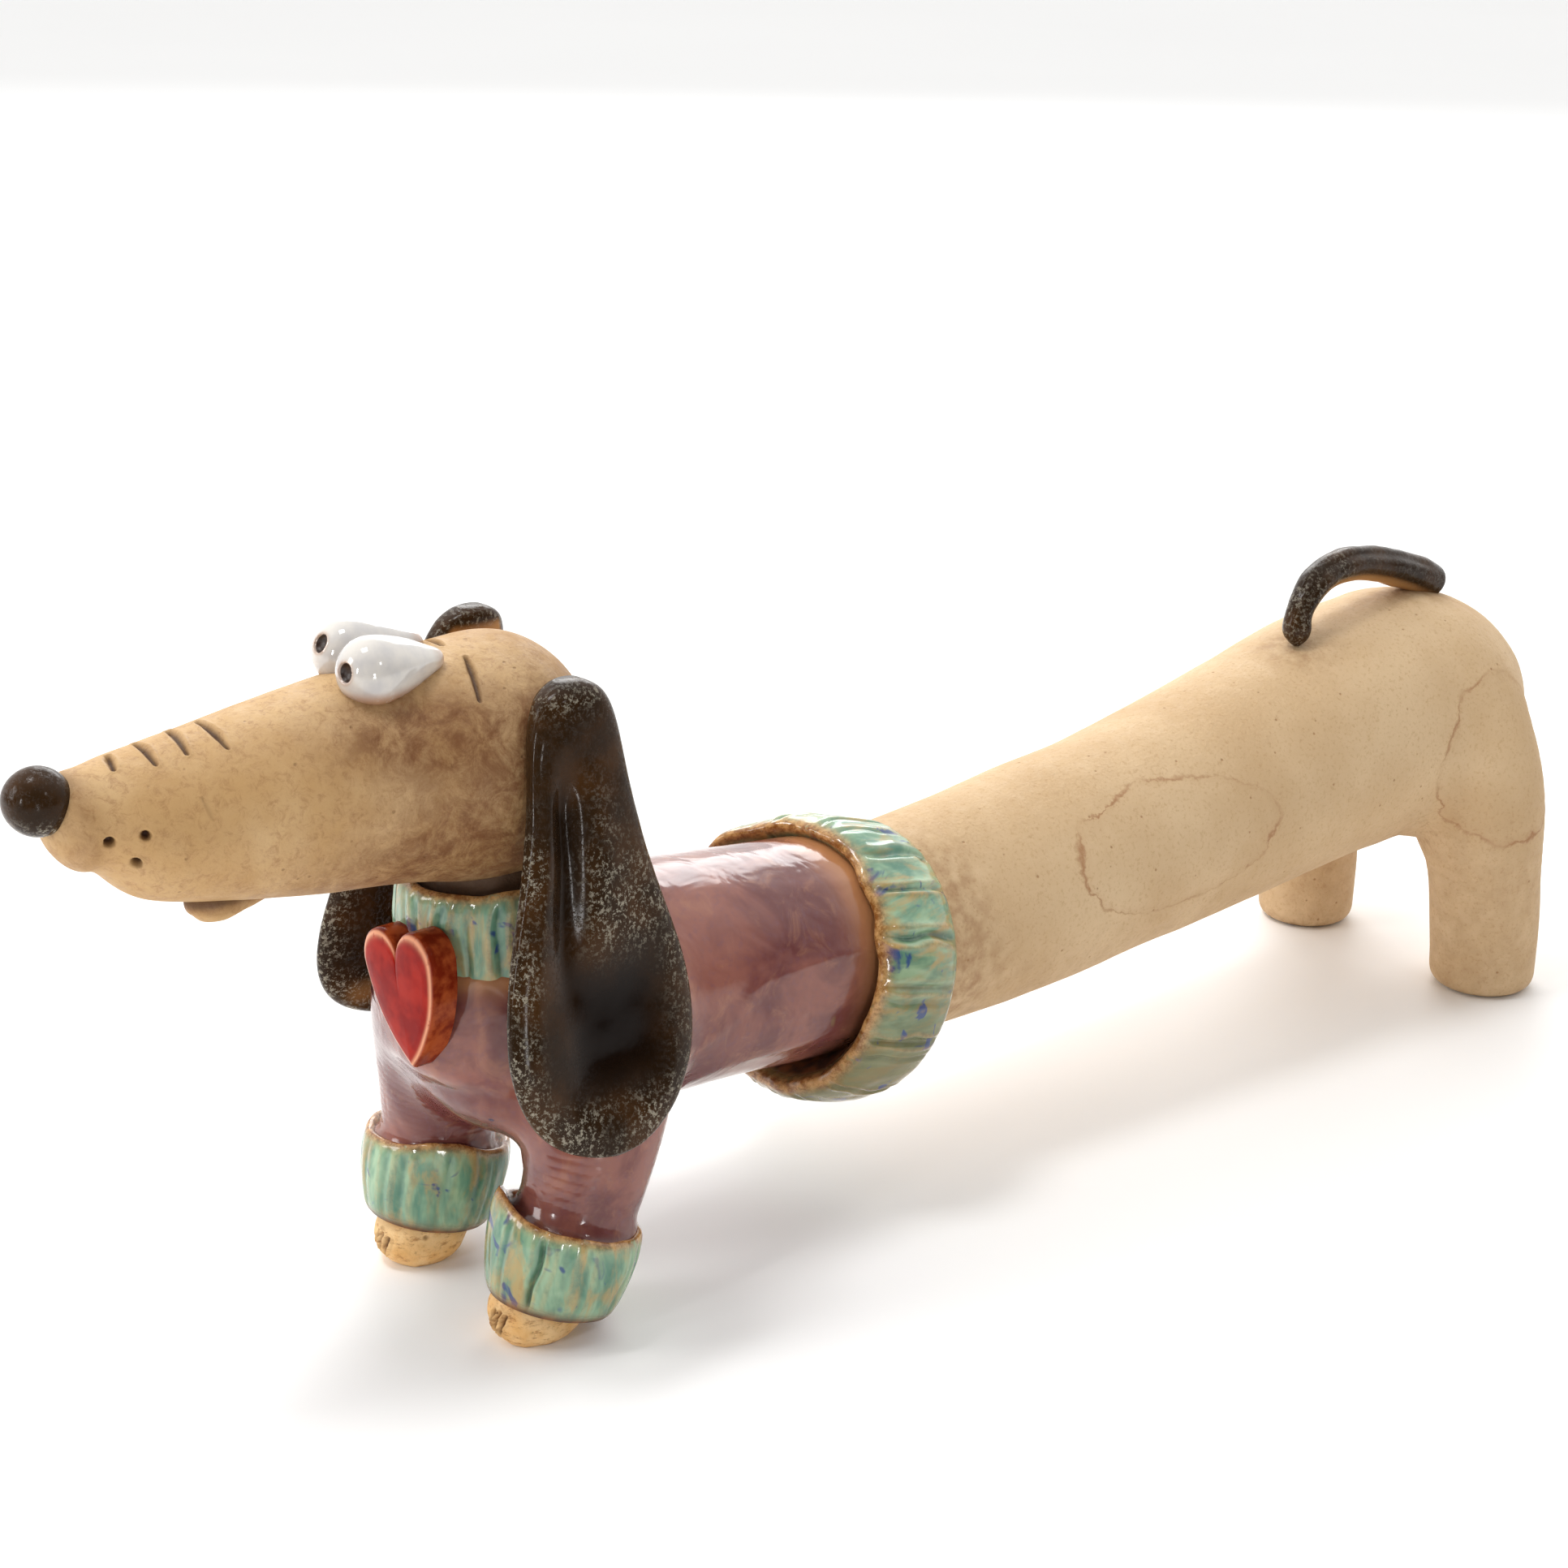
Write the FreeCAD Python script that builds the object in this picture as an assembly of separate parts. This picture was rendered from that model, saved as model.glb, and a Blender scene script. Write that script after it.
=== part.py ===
import FreeCAD, Part
import math
import os
from FreeCAD import Vector

# A hand-built stoneware dachshund in a glazed sweater, in millimetres.
# The dog faces -Y, its left side is +X, the floor is z = 0 and the origin lies
# on the floor under the middle of its length. Every piece was formed on its own
# from slabs, coils and pellets of clay and luted to its neighbour, so each is a
# separate solid that meets the next one face to face.

# Walls and joints, the firing vent under the belly, and the spacing of loft sections
WALL = 4.0
JOINT_Y = -13.0
VENT_R = 1.5
VENT_Y = 20.0
SECTION_STEP = 5.0

# Length of the straight tools that cut bores, and size of the block below the floor
TOOL_LENGTH = 40.0
BLOCK = 400.0

# The rolled body tube: (y, height of the axis, radius)
REAR_TUBE = [(JOINT_Y, 40.0, 18.3), (-5.0, 40.3, 18.5), (25.0, 41.8, 19.8), (55.0, 44.6, 20.6),
             (85.0, 48.6, 22.2), (112.0, 52.6, 23.8), (131.0, 53.4, 24.7)]
RUMP_LENGTH = 33.0
FRONT_TUBE = [(JOINT_Y, 41.2, 18.8), (-30.0, 42.8, 19.0), (-45.0, 44.3, 19.1), (-60.0, 45.6, 19.2),
              (-81.0, 45.9, 18.8)]
CHEST_LENGTH = 18.8

# Shoulder, neck and collar share one upright axis
NECK_Y = -84.0
NECK_R = 12.4
NECK_BORE_R = 8.0
SHOULDER_R = (17.6, 15.4)
SHOULDER_Z = (42.0, 60.5)
COLLAR_Z = (58.5, 71.5)
COLLAR_R = (15.2, 16.1, 15.4)

# Head: (y, height of the axis, radius), with a domed back and a domed snout
HEAD_TUBE = [(-153.0, 94.3, 7.2), (-148.0, 92.7, 9.6), (-142.0, 91.7, 11.4), (-130.0, 91.1, 13.5),
             (-115.0, 91.0, 15.5), (-100.0, 90.6, 17.2), (-85.5, 89.9, 18.9)]
HEAD_BACK = 15.5
SNOUT_LENGTH = 5.8
SNOUT_RISE = 1.0
NOSE_AT = (0.0, -159.1, 98.4)
NOSE_R = 4.9

# Lower lip: a pinch of clay under the snout, (y, height, radius), thickest near its front
LIP_X = 2.0
LIP = [(-138.8, 79.6, 0.9), (-137.6, 79.3, 2.0), (-136.0, 78.9, 2.8), (-134.2, 78.6, 3.0),
       (-130.5, 78.7, 2.6), (-127.0, 78.6, 1.9), (-124.6, 78.3, 1.0)]

# Eyes: a ball that is drawn out to a point towards the back of the head
EYE_R = 5.2
EYE_LENGTH = 17.6
EYE_DRIFT = 0.25
EYE_DROP = 0.6
EYE_SECTIONS = [(-0.97, 0.26), (-0.87, 0.5), (-0.65, 0.76), (-0.3, 0.96), (0.1, 1.0), (0.7, 0.9),
                (1.4, 0.66), (2.0, 0.4), (2.45, 0.16)]
EYES = {"left": (5.2, -109.0, 108.6), "right": (-5.2, -106.6, 108.4)}
PUPIL_R = 1.5
PUPIL_DEPTH = 1.6
PUPIL_SUNK = 0.4
PUPIL_LOOK = {"left": (0.12, -0.97, 0.16), "right": (-0.03, -0.89, 0.45)}

# Ears: (height above the floor, half width), hung from the side of the head
EAR_OUTLINE = [(105.6, 2.0), (104.0, 5.0), (101.5, 6.7), (96.0, 8.1), (86.0, 9.6), (76.0, 12.0),
               (65.0, 15.2), (55.0, 16.6), (47.0, 15.2), (41.5, 11.6), (38.4, 6.6), (37.2, 2.2)]
EAR_HALF_THICK = 2.7
EAR_EDGE = (0.45, 0.1, 0.8)
EAR_TOP_X = 17.6
EAR_SPLAY = 0.235
EAR_RISE = 44.0
EARS = {"left": (-83.6, -87.6, 1.0), "right": (-76.4, -83.6, 1.045)}

# Front legs: sleeve axis (x, y, z, radius), cuff and paw
SLEEVES = {"left": [(12.5, -72.0, 45.0, 11.0), (15.2, -76.6, 33.0, 10.8), (16.3, -79.6, 25.0, 9.8),
                    (16.6, -83.4, 15.0, 8.7), (17.0, -87.0, 5.0, 8.2)],
           "right": [(12.0, -85.4, 48.0, 12.4), (15.2, -85.2, 34.0, 10.6), (16.3, -85.2, 25.0, 9.5),
                     (16.6, -86.0, 15.0, 8.6), (17.0, -87.0, 5.0, 8.2)]}
CUFF_BASE = {"left": (17.0, -88.0, 4.8), "right": (17.0, -87.8, 6.2)}
CUFF_LEAN = {"left": math.radians(17.0), "right": math.radians(11.0)}
CUFF_PROFILE = [(0.0, 9.0), (1.2, 10.0), (6.0, 11.2), (10.6, 11.7), (13.2, 11.3), (14.0, 10.7)]
CUFF_FLARE = (8.0, 10.0)
PAW_AT = (16.2, -89.6, 4.2)
PAW_RADII = (7.0, 8.0, 5.4)

# Rear legs: leg axis (x, y, z, radius) from the haunch down to the foot
REAR_LEG = [(9.0, 136.0, 66.0, 8.0), (13.0, 136.6, 58.0, 12.0), (17.6, 136.8, 47.0, 13.6),
            (21.4, 137.4, 36.0, 12.6), (22.8, 138.4, 26.0, 11.2), (23.0, 139.8, 16.0, 10.7),
            (23.0, 140.4, 7.0, 10.0), (23.0, 140.2, 3.0, 9.0), (23.0, 140.0, 0.0, 6.6)]
LEG_SCALE = {"left": 1.0, "right": 0.95}

# Hem cuff: (distance behind the lip, outer radius), tipped back at the top
HEM_LIP = (-25.3, 40.8)
HEM_BACK = (-8.0, 40.4)
HEM_TILT = 0.27
HEM_PROFILE = [(0.0, 21.7), (0.06, 22.6), (0.35, 24.4), (0.75, 24.2), (0.95, 22.9), (1.0, 21.8)]
HEM_MOUTH_R = 20.6
HEM_MOUTH_DEPTH = 8.0

# Tail: a tapered coil, (x, y, z, radius), from its root over the rump to its tip
TAIL = [(0.0, 144.6, 77.6, 2.0), (0.0, 142.6, 78.8, 3.5), (0.0, 134.0, 82.2, 3.6), (0.0, 123.5, 85.3, 3.5),
        (0.6, 112.0, 86.4, 3.3), (1.6, 103.5, 83.8, 3.0), (2.8, 99.0, 78.6, 2.8), (3.2, 98.4, 74.8, 1.6)]

# Heart tile on the chest
HEART_AT = (3.0, -99.2, 55.4)
HEART_THICK = 5.0
HEART_WIDTH = 19.0
HEART_HEIGHT = 21.5
HEART_ROLL = 13.0


def circle(center, radius, normal=(0.0, 1.0, 0.0)):
    return Part.Wire(Part.makeCircle(radius, Vector(*center), Vector(*normal)))


def loft(wires):
    return Part.makeLoft(wires, True, False)


def dome(y, z, radius, length, rise=0.0):
    """Sections of a rounded end that closes over length, towards +Y or -Y."""
    sections = []
    for angle in (26.0, 46.0, 63.0, 77.0, 87.0):
        a = math.radians(angle)
        sections.append((y + length * math.sin(a), z + rise * math.sin(a) ** 2, radius * math.cos(a)))
    return sections


def tube(stations, shrink=0.0):
    """A smooth round tube through the stations, with evenly spaced sections."""
    line = Part.BSplineCurve()
    line.interpolate([Vector(*station) for station in stations])
    count = 2 + int(line.length() / SECTION_STEP)
    points = line.toShape().discretize(Number=count)
    return loft([circle((0.0, p.x, p.y), max(p.z - shrink, 0.3)) for p in points])


def ellipsoid(center, radii):
    ball = Part.makeSphere(1.0)
    stretch = FreeCAD.Matrix()
    stretch.scale(*radii)
    stretch.move(Vector(*center))
    return ball.transformGeometry(stretch)


def biggest(shape):
    return max(shape.Solids, key=lambda solid: solid.Volume)


def without(shape, *others):
    for other in others:
        shape = shape.cut(other)
    return biggest(shape)


def mirror_x(point, side):
    sign = 1.0 if side == "left" else -1.0
    return (sign * point[0],) + tuple(point[1:])


def rear_body_outer(shrink=0.0):
    y, z, r = REAR_TUBE[-1]
    return tube(REAR_TUBE + dome(y, z, r, RUMP_LENGTH - shrink), shrink)


def front_body_outer(shrink=0.0):
    y, z, r = FRONT_TUBE[-1]
    barrel = tube(FRONT_TUBE + dome(y, z, r, shrink - CHEST_LENGTH), shrink)
    shoulder = Part.makeCone(SHOULDER_R[0] - shrink, SHOULDER_R[1] - shrink,
                             SHOULDER_Z[1] - SHOULDER_Z[0] - shrink,
                             Vector(0.0, NECK_Y, SHOULDER_Z[0]))
    return biggest(barrel.fuse(shoulder))


def head_outer(shrink=0.0):
    y0, z0, r0 = HEAD_TUBE[0]
    y1, z1, r1 = HEAD_TUBE[-1]
    snout = dome(y0, z0, r0, shrink - SNOUT_LENGTH, SNOUT_RISE)
    back = dome(y1, z1, r1, HEAD_BACK - shrink)
    return tube(snout[::-1] + HEAD_TUBE + back, shrink)


def neck_bore():
    return Part.makeCylinder(NECK_BORE_R, TOOL_LENGTH, Vector(0.0, NECK_Y, SHOULDER_Z[0]))


def make_neck(body, head):
    plug = Part.makeCylinder(NECK_R, TOOL_LENGTH, Vector(0.0, NECK_Y, SHOULDER_Z[0]))
    return without(plug, neck_bore(), body, head)


def make_collar(body, head):
    low, high = COLLAR_Z
    heights = (low, 0.5 * (low + high), high)
    rings = [circle((0.0, NECK_Y, z), r, (0, 0, 1)) for z, r in zip(heights, COLLAR_R)]
    bore = Part.makeCylinder(NECK_R, TOOL_LENGTH, Vector(0.0, NECK_Y, SHOULDER_Z[0]))
    return without(loft(rings), bore, body, head)


def make_hem_cuff(*bodies):
    wires = []
    for part_way, radius in HEM_PROFILE:
        y = HEM_LIP[0] + part_way * (HEM_BACK[0] - HEM_LIP[0])
        z = HEM_LIP[1] + part_way * (HEM_BACK[1] - HEM_LIP[1])
        wires.append(circle((0.0, y, z), radius, (0.0, math.cos(HEM_TILT), -math.sin(HEM_TILT))))
    axis = Vector(0.0, math.cos(HEM_TILT), -math.sin(HEM_TILT))
    lip = Vector(0.0, HEM_LIP[0], HEM_LIP[1])
    mouth = Part.makeCone(HEM_MOUTH_R, FRONT_TUBE[0][2], HEM_MOUTH_DEPTH, lip - axis * 0.1, axis)
    return without(loft(wires), mouth, *bodies)


def make_lower_lip(head):
    return without(loft([circle((LIP_X, y, z), r) for y, z, r in LIP]), head)


def make_tail(body):
    wires = []
    for i, (x, y, z, r) in enumerate(TAIL):
        before = Vector(*TAIL[max(i - 1, 0)][:3])
        after = Vector(*TAIL[min(i + 1, len(TAIL) - 1)][:3])
        along = after - before
        wires.append(circle((x, y, z), r, tuple(along)))
    return without(loft(wires), body)


def make_rear_leg(side, body):
    scale = LEG_SCALE[side]
    wires = [circle(mirror_x((x, y, z), side), r * scale, (0, 0, 1)) for x, y, z, r in REAR_LEG]
    return without(loft(wires), body)


def make_sleeve(side, body):
    wires = [circle(mirror_x((x, y, z), side), r, (0, 0, 1)) for x, y, z, r in SLEEVES[side]]
    return without(loft(wires), body)


def make_sleeve_cuff(side, sleeve):
    base = Vector(*mirror_x(CUFF_BASE[side], side))
    axis = Vector(0.0, math.sin(CUFF_LEAN[side]), math.cos(CUFF_LEAN[side]))
    rings = [circle(tuple(base + axis * s), r, tuple(axis)) for s, r in CUFF_PROFILE]
    start, mouth_r = CUFF_FLARE
    length = CUFF_PROFILE[-1][0] - start + 0.1
    flare = Part.makeCone(SLEEVES[side][-1][3], mouth_r, length, base + axis * start, axis)
    return without(loft(rings), flare, sleeve)


def make_paw(side, sleeve, cuff):
    lump = ellipsoid(mirror_x(PAW_AT, side), PAW_RADII)
    below = Part.makeBox(BLOCK, BLOCK, BLOCK, Vector(-BLOCK / 2.0, -BLOCK / 2.0, -BLOCK))
    return without(lump, below, sleeve, cuff)


def make_ear(side, *neighbours):
    top_y, bottom_y, size = EARS[side]
    top_z = EAR_OUTLINE[0][0]
    drop = top_z - EAR_OUTLINE[-1][0]
    wires = []
    for height, half_width in EAR_OUTLINE:
        z = top_z + EAR_RISE * (size - 1.0) - size * (top_z - height)
        down = (top_z - height) / drop
        x = EAR_TOP_X + EAR_SPLAY * drop * down
        y = top_y + (bottom_y - top_y) * down
        base, growth, limit = EAR_EDGE
        thick = min(EAR_HALF_THICK * min(1.0, base + growth * half_width), limit * half_width)
        oval = Part.Ellipse(Vector(*mirror_x((x, y, z), side)), half_width, thick)
        oval.AngleXU = math.pi / 2.0
        wires.append(Part.Wire(oval.toShape()))
    return without(loft(wires), *neighbours)


def make_eye(side, *neighbours):
    center = EYES[side]
    reach = (EYE_LENGTH - EYE_R) / EYE_SECTIONS[-1][0]
    wires = []
    for s, width in EYE_SECTIONS:
        y = center[1] + (s * EYE_R if s < 0 else s * reach)
        drift = EYE_DRIFT * max(s, 0.0)
        x = center[0] - math.copysign(drift, center[0])
        wires.append(circle((x, y, center[2] - drift * EYE_DROP), width * EYE_R))
    return without(loft(wires), *neighbours)


def make_pupil(side, eye):
    look = Vector(*PUPIL_LOOK[side])
    look.normalize()
    start = Vector(*EYES[side]) + look * (EYE_R - PUPIL_SUNK - PUPIL_DEPTH)
    disc = Part.makeCylinder(PUPIL_R, PUPIL_DEPTH, start, look)
    shaft = Part.makeCylinder(PUPIL_R, EYE_R, start, look)
    return biggest(disc.common(eye)), without(eye, shaft)


def make_heart(*neighbours):
    """A flat tile: two round lobes on a pointed lower half."""
    lobe = HEART_WIDTH / 4.0
    top = HEART_HEIGHT / 2.0 - lobe
    notch = Vector(0.0, 0.0, top)
    tip = Vector(0.0, 0.0, -HEART_HEIGHT / 2.0)
    edges = []
    for sign in (1.0, -1.0):
        crown = Vector(sign * lobe, 0.0, top + lobe)
        shoulder = Vector(sign * 2.0 * lobe, 0.0, top)
        flank = Vector(sign * 1.35 * lobe, 0.0, -0.16 * HEART_HEIGHT)
        edges.append(Part.Arc(notch, crown, shoulder).toShape())
        edges.append(Part.Arc(shoulder, flank, tip).toShape())
    wire = Part.Wire(Part.__sortEdges__(edges))
    tile = Part.Face(wire).extrude(Vector(0.0, -HEART_THICK, 0.0))
    tile.rotate(Vector(0.0, 0.0, 0.0), Vector(0.0, 1.0, 0.0), -HEART_ROLL)
    tile.translate(Vector(*HEART_AT))
    return without(tile, *neighbours)


def main():
    rear = rear_body_outer()
    front = front_body_outer()
    head = head_outer()
    vent = Part.makeCylinder(VENT_R, TOOL_LENGTH, Vector(0.0, VENT_Y, 0.0))
    parts = {
        "rear_body": without(rear, rear_body_outer(WALL), vent),
        "sweater_body": without(front, front_body_outer(WALL), neck_bore()),
        "head": without(head, head_outer(WALL), neck_bore()),
        "neck": make_neck(front, head),
        "collar": make_collar(front, head),
        "hem_cuff": make_hem_cuff(front, rear),
        "tail": make_tail(rear),
        "nose": without(ellipsoid(NOSE_AT, (NOSE_R, NOSE_R, NOSE_R)), head),
        "lower_lip": make_lower_lip(head),
    }
    parts["heart"] = make_heart(front, parts["collar"])
    left_eye = make_eye("left", head)
    eyes = {"left": left_eye, "right": make_eye("right", head, left_eye)}
    for side in ("left", "right"):
        sleeve = make_sleeve(side, front)
        cuff = make_sleeve_cuff(side, sleeve)
        pupil, eye = make_pupil(side, eyes[side])
        parts[side + "_rear_leg"] = make_rear_leg(side, rear)
        parts[side + "_sleeve"] = sleeve
        parts[side + "_sleeve_cuff"] = cuff
        parts[side + "_front_paw"] = make_paw(side, sleeve, cuff)
        parts[side + "_ear"] = make_ear(side, head, parts["collar"])
        parts[side + "_eye"] = eye
        parts[side + "_pupil"] = pupil
    os.makedirs("parts", exist_ok=True)
    for name, shape in parts.items():
        shape.exportStep("parts/" + name + ".step")
        print(name, shape.isValid(), len(shape.Solids), round(shape.Volume), shape.BoundBox)


main()
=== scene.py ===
import math
import bpy
import numpy as np
from mathutils import Matrix


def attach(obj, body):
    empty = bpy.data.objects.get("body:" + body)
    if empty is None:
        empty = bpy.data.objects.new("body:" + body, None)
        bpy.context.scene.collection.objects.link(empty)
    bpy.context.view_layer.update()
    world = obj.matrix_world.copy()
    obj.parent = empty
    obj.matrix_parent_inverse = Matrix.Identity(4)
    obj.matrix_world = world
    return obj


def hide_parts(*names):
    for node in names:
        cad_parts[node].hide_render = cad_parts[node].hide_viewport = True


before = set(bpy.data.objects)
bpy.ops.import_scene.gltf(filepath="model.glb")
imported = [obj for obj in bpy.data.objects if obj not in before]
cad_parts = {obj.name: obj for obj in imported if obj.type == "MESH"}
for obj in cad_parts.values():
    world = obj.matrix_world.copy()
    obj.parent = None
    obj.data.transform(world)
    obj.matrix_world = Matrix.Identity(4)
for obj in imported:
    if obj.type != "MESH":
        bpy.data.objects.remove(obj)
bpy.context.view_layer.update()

# A hand-built stoneware dachshund in a glazed sweater. The dog faces -Y, its left
# side is +X. Shapes are worked out in millimetres and scaled to metres at the end.
MM = 0.001
SIDES = ("left", "right")

# The two body tubes, their shoulder and the head: (y, height of the axis, radius)
REAR_TUBE = [(-12.0, 40.0, 18.3), (-5.0, 40.3, 18.5), (25.0, 41.8, 19.8), (55.0, 44.6, 20.6),
             (85.0, 48.6, 22.2), (112.0, 52.6, 23.8), (131.0, 53.4, 24.7)]
REAR_ENDS = (2.0, 33.0)
FRONT_TUBE = [(-81.0, 45.9, 18.8), (-60.0, 45.6, 19.2), (-45.0, 44.3, 19.1), (-30.0, 42.8, 19.0),
              (-13.0, 41.2, 18.8)]
FRONT_ENDS = (18.8, 2.0)
NECK_Y = -84.0
SHOULDER_R = (17.4, 15.6)
SHOULDER_Z = (42.0, 60.3)
HEAD_TUBE = [(-153.0, 94.3, 7.2), (-148.0, 92.7, 9.6), (-142.0, 91.7, 11.4), (-130.0, 91.1, 13.5),
             (-115.0, 91.0, 15.5), (-100.0, 90.6, 17.2), (-85.5, 89.9, 18.9)]
HEAD_ENDS = (5.8, 15.5)

# Legs: (x, y, z, radius) from the body down, for the dog's left side
REAR_LEG = [(9.0, 136.0, 66.0, 8.0), (13.0, 136.6, 58.0, 12.0), (17.6, 136.8, 47.0, 13.6),
            (21.4, 137.4, 36.0, 12.6), (22.8, 138.4, 26.0, 11.2), (23.0, 139.8, 16.0, 10.8),
            (23.0, 140.4, 7.0, 10.5), (23.0, 140.4, -4.0, 10.3)]
REAR_LEG_SCALE = {"left": 1.0, "right": 0.95}
SLEEVES = {"left": [(12.5, -72.0, 45.0, 11.0), (15.2, -76.6, 33.0, 10.8), (16.3, -79.6, 25.0, 9.8),
                    (16.6, -83.4, 15.0, 8.7), (17.0, -87.0, 3.5, 8.2)],
           "right": [(12.0, -85.4, 48.0, 12.4), (15.2, -85.2, 34.0, 10.6), (16.3, -85.2, 25.0, 9.5),
                     (16.6, -86.0, 15.0, 8.6), (17.0, -87.0, 3.5, 8.2)]}
CUFF_BASE = {"left": (17.0, -88.0, 4.8), "right": (17.0, -87.8, 6.2)}
CUFF_LEAN = {"left": math.radians(17.0), "right": math.radians(11.0)}
BLEND = 4.0
SLEEVE_BLEND = 6.0
FOOT_EDGE = 3.5
# The glaze pooled in each sleeve cuff: its radius, its top and how softly it joins the sleeve
POOL_R = 10.0
POOL_TOP = 12.3
POOL_BLEND = 5.0
TIP_GAP = 11.0
SLEEVE_FLOOR = 9.0

# How each skin is found: how far past its own form the joint may reach, how far the clay may
# stand below that form, how far the hidden part dips under the piece beside it, and the step
# that normals are measured over
REAR_REACH = 9.0
SWEATER_REACH = 8.0
SLACK = 0.7
DIP = 0.35
DIP_OVER = 4.0
NORMAL_STEP = 0.06


# ---------------------------------------------------------------- shape tools

def spline(knots, values):
    """A natural cubic spline through the values, held constant past both ends."""
    x = np.asarray(knots, float)
    y = np.asarray(values, float)
    count = len(x)
    gap = np.diff(x)
    system = np.eye(count)
    right = np.zeros(count)
    for i in range(1, count - 1):
        system[i, i - 1:i + 2] = gap[i - 1], 2.0 * (gap[i - 1] + gap[i]), gap[i]
        right[i] = 6.0 * ((y[i + 1] - y[i]) / gap[i] - (y[i] - y[i - 1]) / gap[i - 1])
    bend = np.linalg.solve(system, right)

    def at(q):
        q = np.clip(q, x[0], x[-1])
        i = np.clip(np.searchsorted(x, q) - 1, 0, count - 2)
        a = x[i + 1] - q
        b = q - x[i]
        h = gap[i]
        curved = (bend[i] * a ** 3 + bend[i + 1] * b ** 3) / (6.0 * h)
        return curved + (y[i] / h - bend[i] * h / 6.0) * a + (y[i + 1] / h - bend[i + 1] * h / 6.0) * b

    return at


LATTICE = 32
_tables = {}


def noise(points, size, seed):
    """Smooth random values from -1 to 1, with blobs of about the given size."""
    if seed not in _tables:
        _tables[seed] = np.random.default_rng(seed).uniform(-1.0, 1.0, (LATTICE,) * 3)
    table = _tables[seed]
    q = np.asarray(points) / size
    cell = np.floor(q).astype(int)
    f = q - cell
    f = f * f * (3.0 - 2.0 * f)
    total = 0.0
    for corner in range(8):
        bit = np.array([corner & 1, corner >> 1 & 1, corner >> 2 & 1])
        i = (cell + bit) % LATTICE
        weight = np.prod(np.where(bit, f, 1.0 - f), axis=-1)
        total = total + weight * table[i[..., 0], i[..., 1], i[..., 2]]
    return total


def smooth_min(a, b, k):
    h = share(0.5 + 0.5 * (b - a) / k)
    return b * (1.0 - h) + a * h - k * h * (1.0 - h)


def smooth_max(a, b, k):
    return -smooth_min(-a, -b, k)


def ramp(value, low, high):
    t = share((value - low) / (high - low))
    return t * t * (3.0 - 2.0 * t)


def share(value):
    return np.clip(value, 0.0, 1.0)


def bell(value, width):
    """1 at zero, falling away smoothly on both sides."""
    return np.exp(-(value / width) ** 2)


def unit(v):
    return v / np.maximum(np.linalg.norm(v, axis=-1, keepdims=True), 1e-9)


def circle(count):
    """Angles evenly spaced round a full turn."""
    return np.linspace(0.0, 2.0 * math.pi, count, endpoint=False)


def wrapped(angle):
    """The same angle between -pi and pi."""
    return (angle + math.pi) % (2.0 * math.pi) - math.pi


def travelled(line):
    """The distance covered at each point of a polyline, starting from 0."""
    return np.concatenate([[0.0], np.cumsum(np.linalg.norm(np.diff(line, axis=0), axis=1))])


def segment_distance(points, a, b):
    a, b = np.asarray(a, float), np.asarray(b, float)
    along = b - a
    t = share(((points - a) @ along) / (along @ along))
    return np.linalg.norm(points - a - t[..., None] * along, axis=-1), t


def path_distance(points, path):
    """Distance to a polyline."""
    return np.min([segment_distance(points, a, b)[0] for a, b in zip(path, path[1:])], axis=0)


def stroke(points, normals, path):
    """Distance along the surface to a polyline near it, and how far along the line that is (0 to 1).

    A line more than 3 mm above or below the surface counts as further away.
    """
    best = np.full(points.shape[:-1], 99.0)
    part = np.zeros(points.shape[:-1])
    count = len(path) - 1
    for k in range(count):
        a, b = np.asarray(path[k], float), np.asarray(path[k + 1], float)
        line = b - a
        t = share(((points - a) @ line) / (line @ line))
        gap = points - a - t[..., None] * line
        sunk = np.sum(gap * normals, axis=-1)
        level = np.sqrt(np.maximum(np.sum(gap ** 2, axis=-1) - sunk ** 2, 0.0))
        distance = level + np.maximum(np.abs(sunk) - 3.0, 0.0)
        nearer = distance < best
        best = np.where(nearer, distance, best)
        part = np.where(nearer, (k + t) / count, part)
    return best, part


def fan(origin, swing, columns, order):
    """A full turn of rays from each origin, swung off the level; order (0, 1, 2) turns them about Z."""
    turn = circle(columns)
    flat = [np.outer(np.cos(swing), np.cos(turn)), np.outer(np.cos(swing), np.sin(turn)),
            np.outer(np.sin(swing), np.ones(columns))]
    return np.repeat(origin[:, None], columns, axis=1), np.stack([flat[k] for k in order], axis=-1)


class Tube:
    """A round form along Y with a domed end at each side."""

    def __init__(self, stations, ends):
        table = np.array(stations)
        self.y0, self.y1 = table[0, 0], table[-1, 0]
        self.height = spline(table[:, 0], table[:, 1])
        self.radius = spline(table[:, 0], table[:, 2])
        self.ends = ends

    def field(self, p):
        y = p[..., 1]
        radius = self.radius(y)
        front = np.maximum(self.y0 - y, 0.0)
        back = np.maximum(y - self.y1, 0.0)
        over = front * self.radius(self.y0) / self.ends[0] + back * self.radius(self.y1) / self.ends[1]
        return np.sqrt(p[..., 0] ** 2 + over ** 2 + (p[..., 2] - self.height(y)) ** 2) - radius

    def rays(self, rows, columns):
        """Rays that start on the axis and fan out over both ends."""
        length = self.y1 - self.y0
        reach = [0.5 * math.pi * math.sqrt(e * self.radius(y)) for e, y in zip(self.ends, (self.y0, self.y1))]
        way = np.linspace(0.0, reach[0] + length + reach[1], rows)
        tip = 0.5 * math.pi - 0.004
        swing = np.where(way < reach[0], (way / reach[0] - 1.0) * tip, 0.0)
        late = way - reach[0] - length
        swing = np.where(late > 0.0, late / reach[1] * tip, swing)
        y = np.clip(self.y0 + way - reach[0], self.y0, self.y1)
        origin = np.stack([np.zeros(rows), y, self.height(y)], axis=-1)
        return fan(origin, swing, columns, (0, 2, 1))


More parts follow.
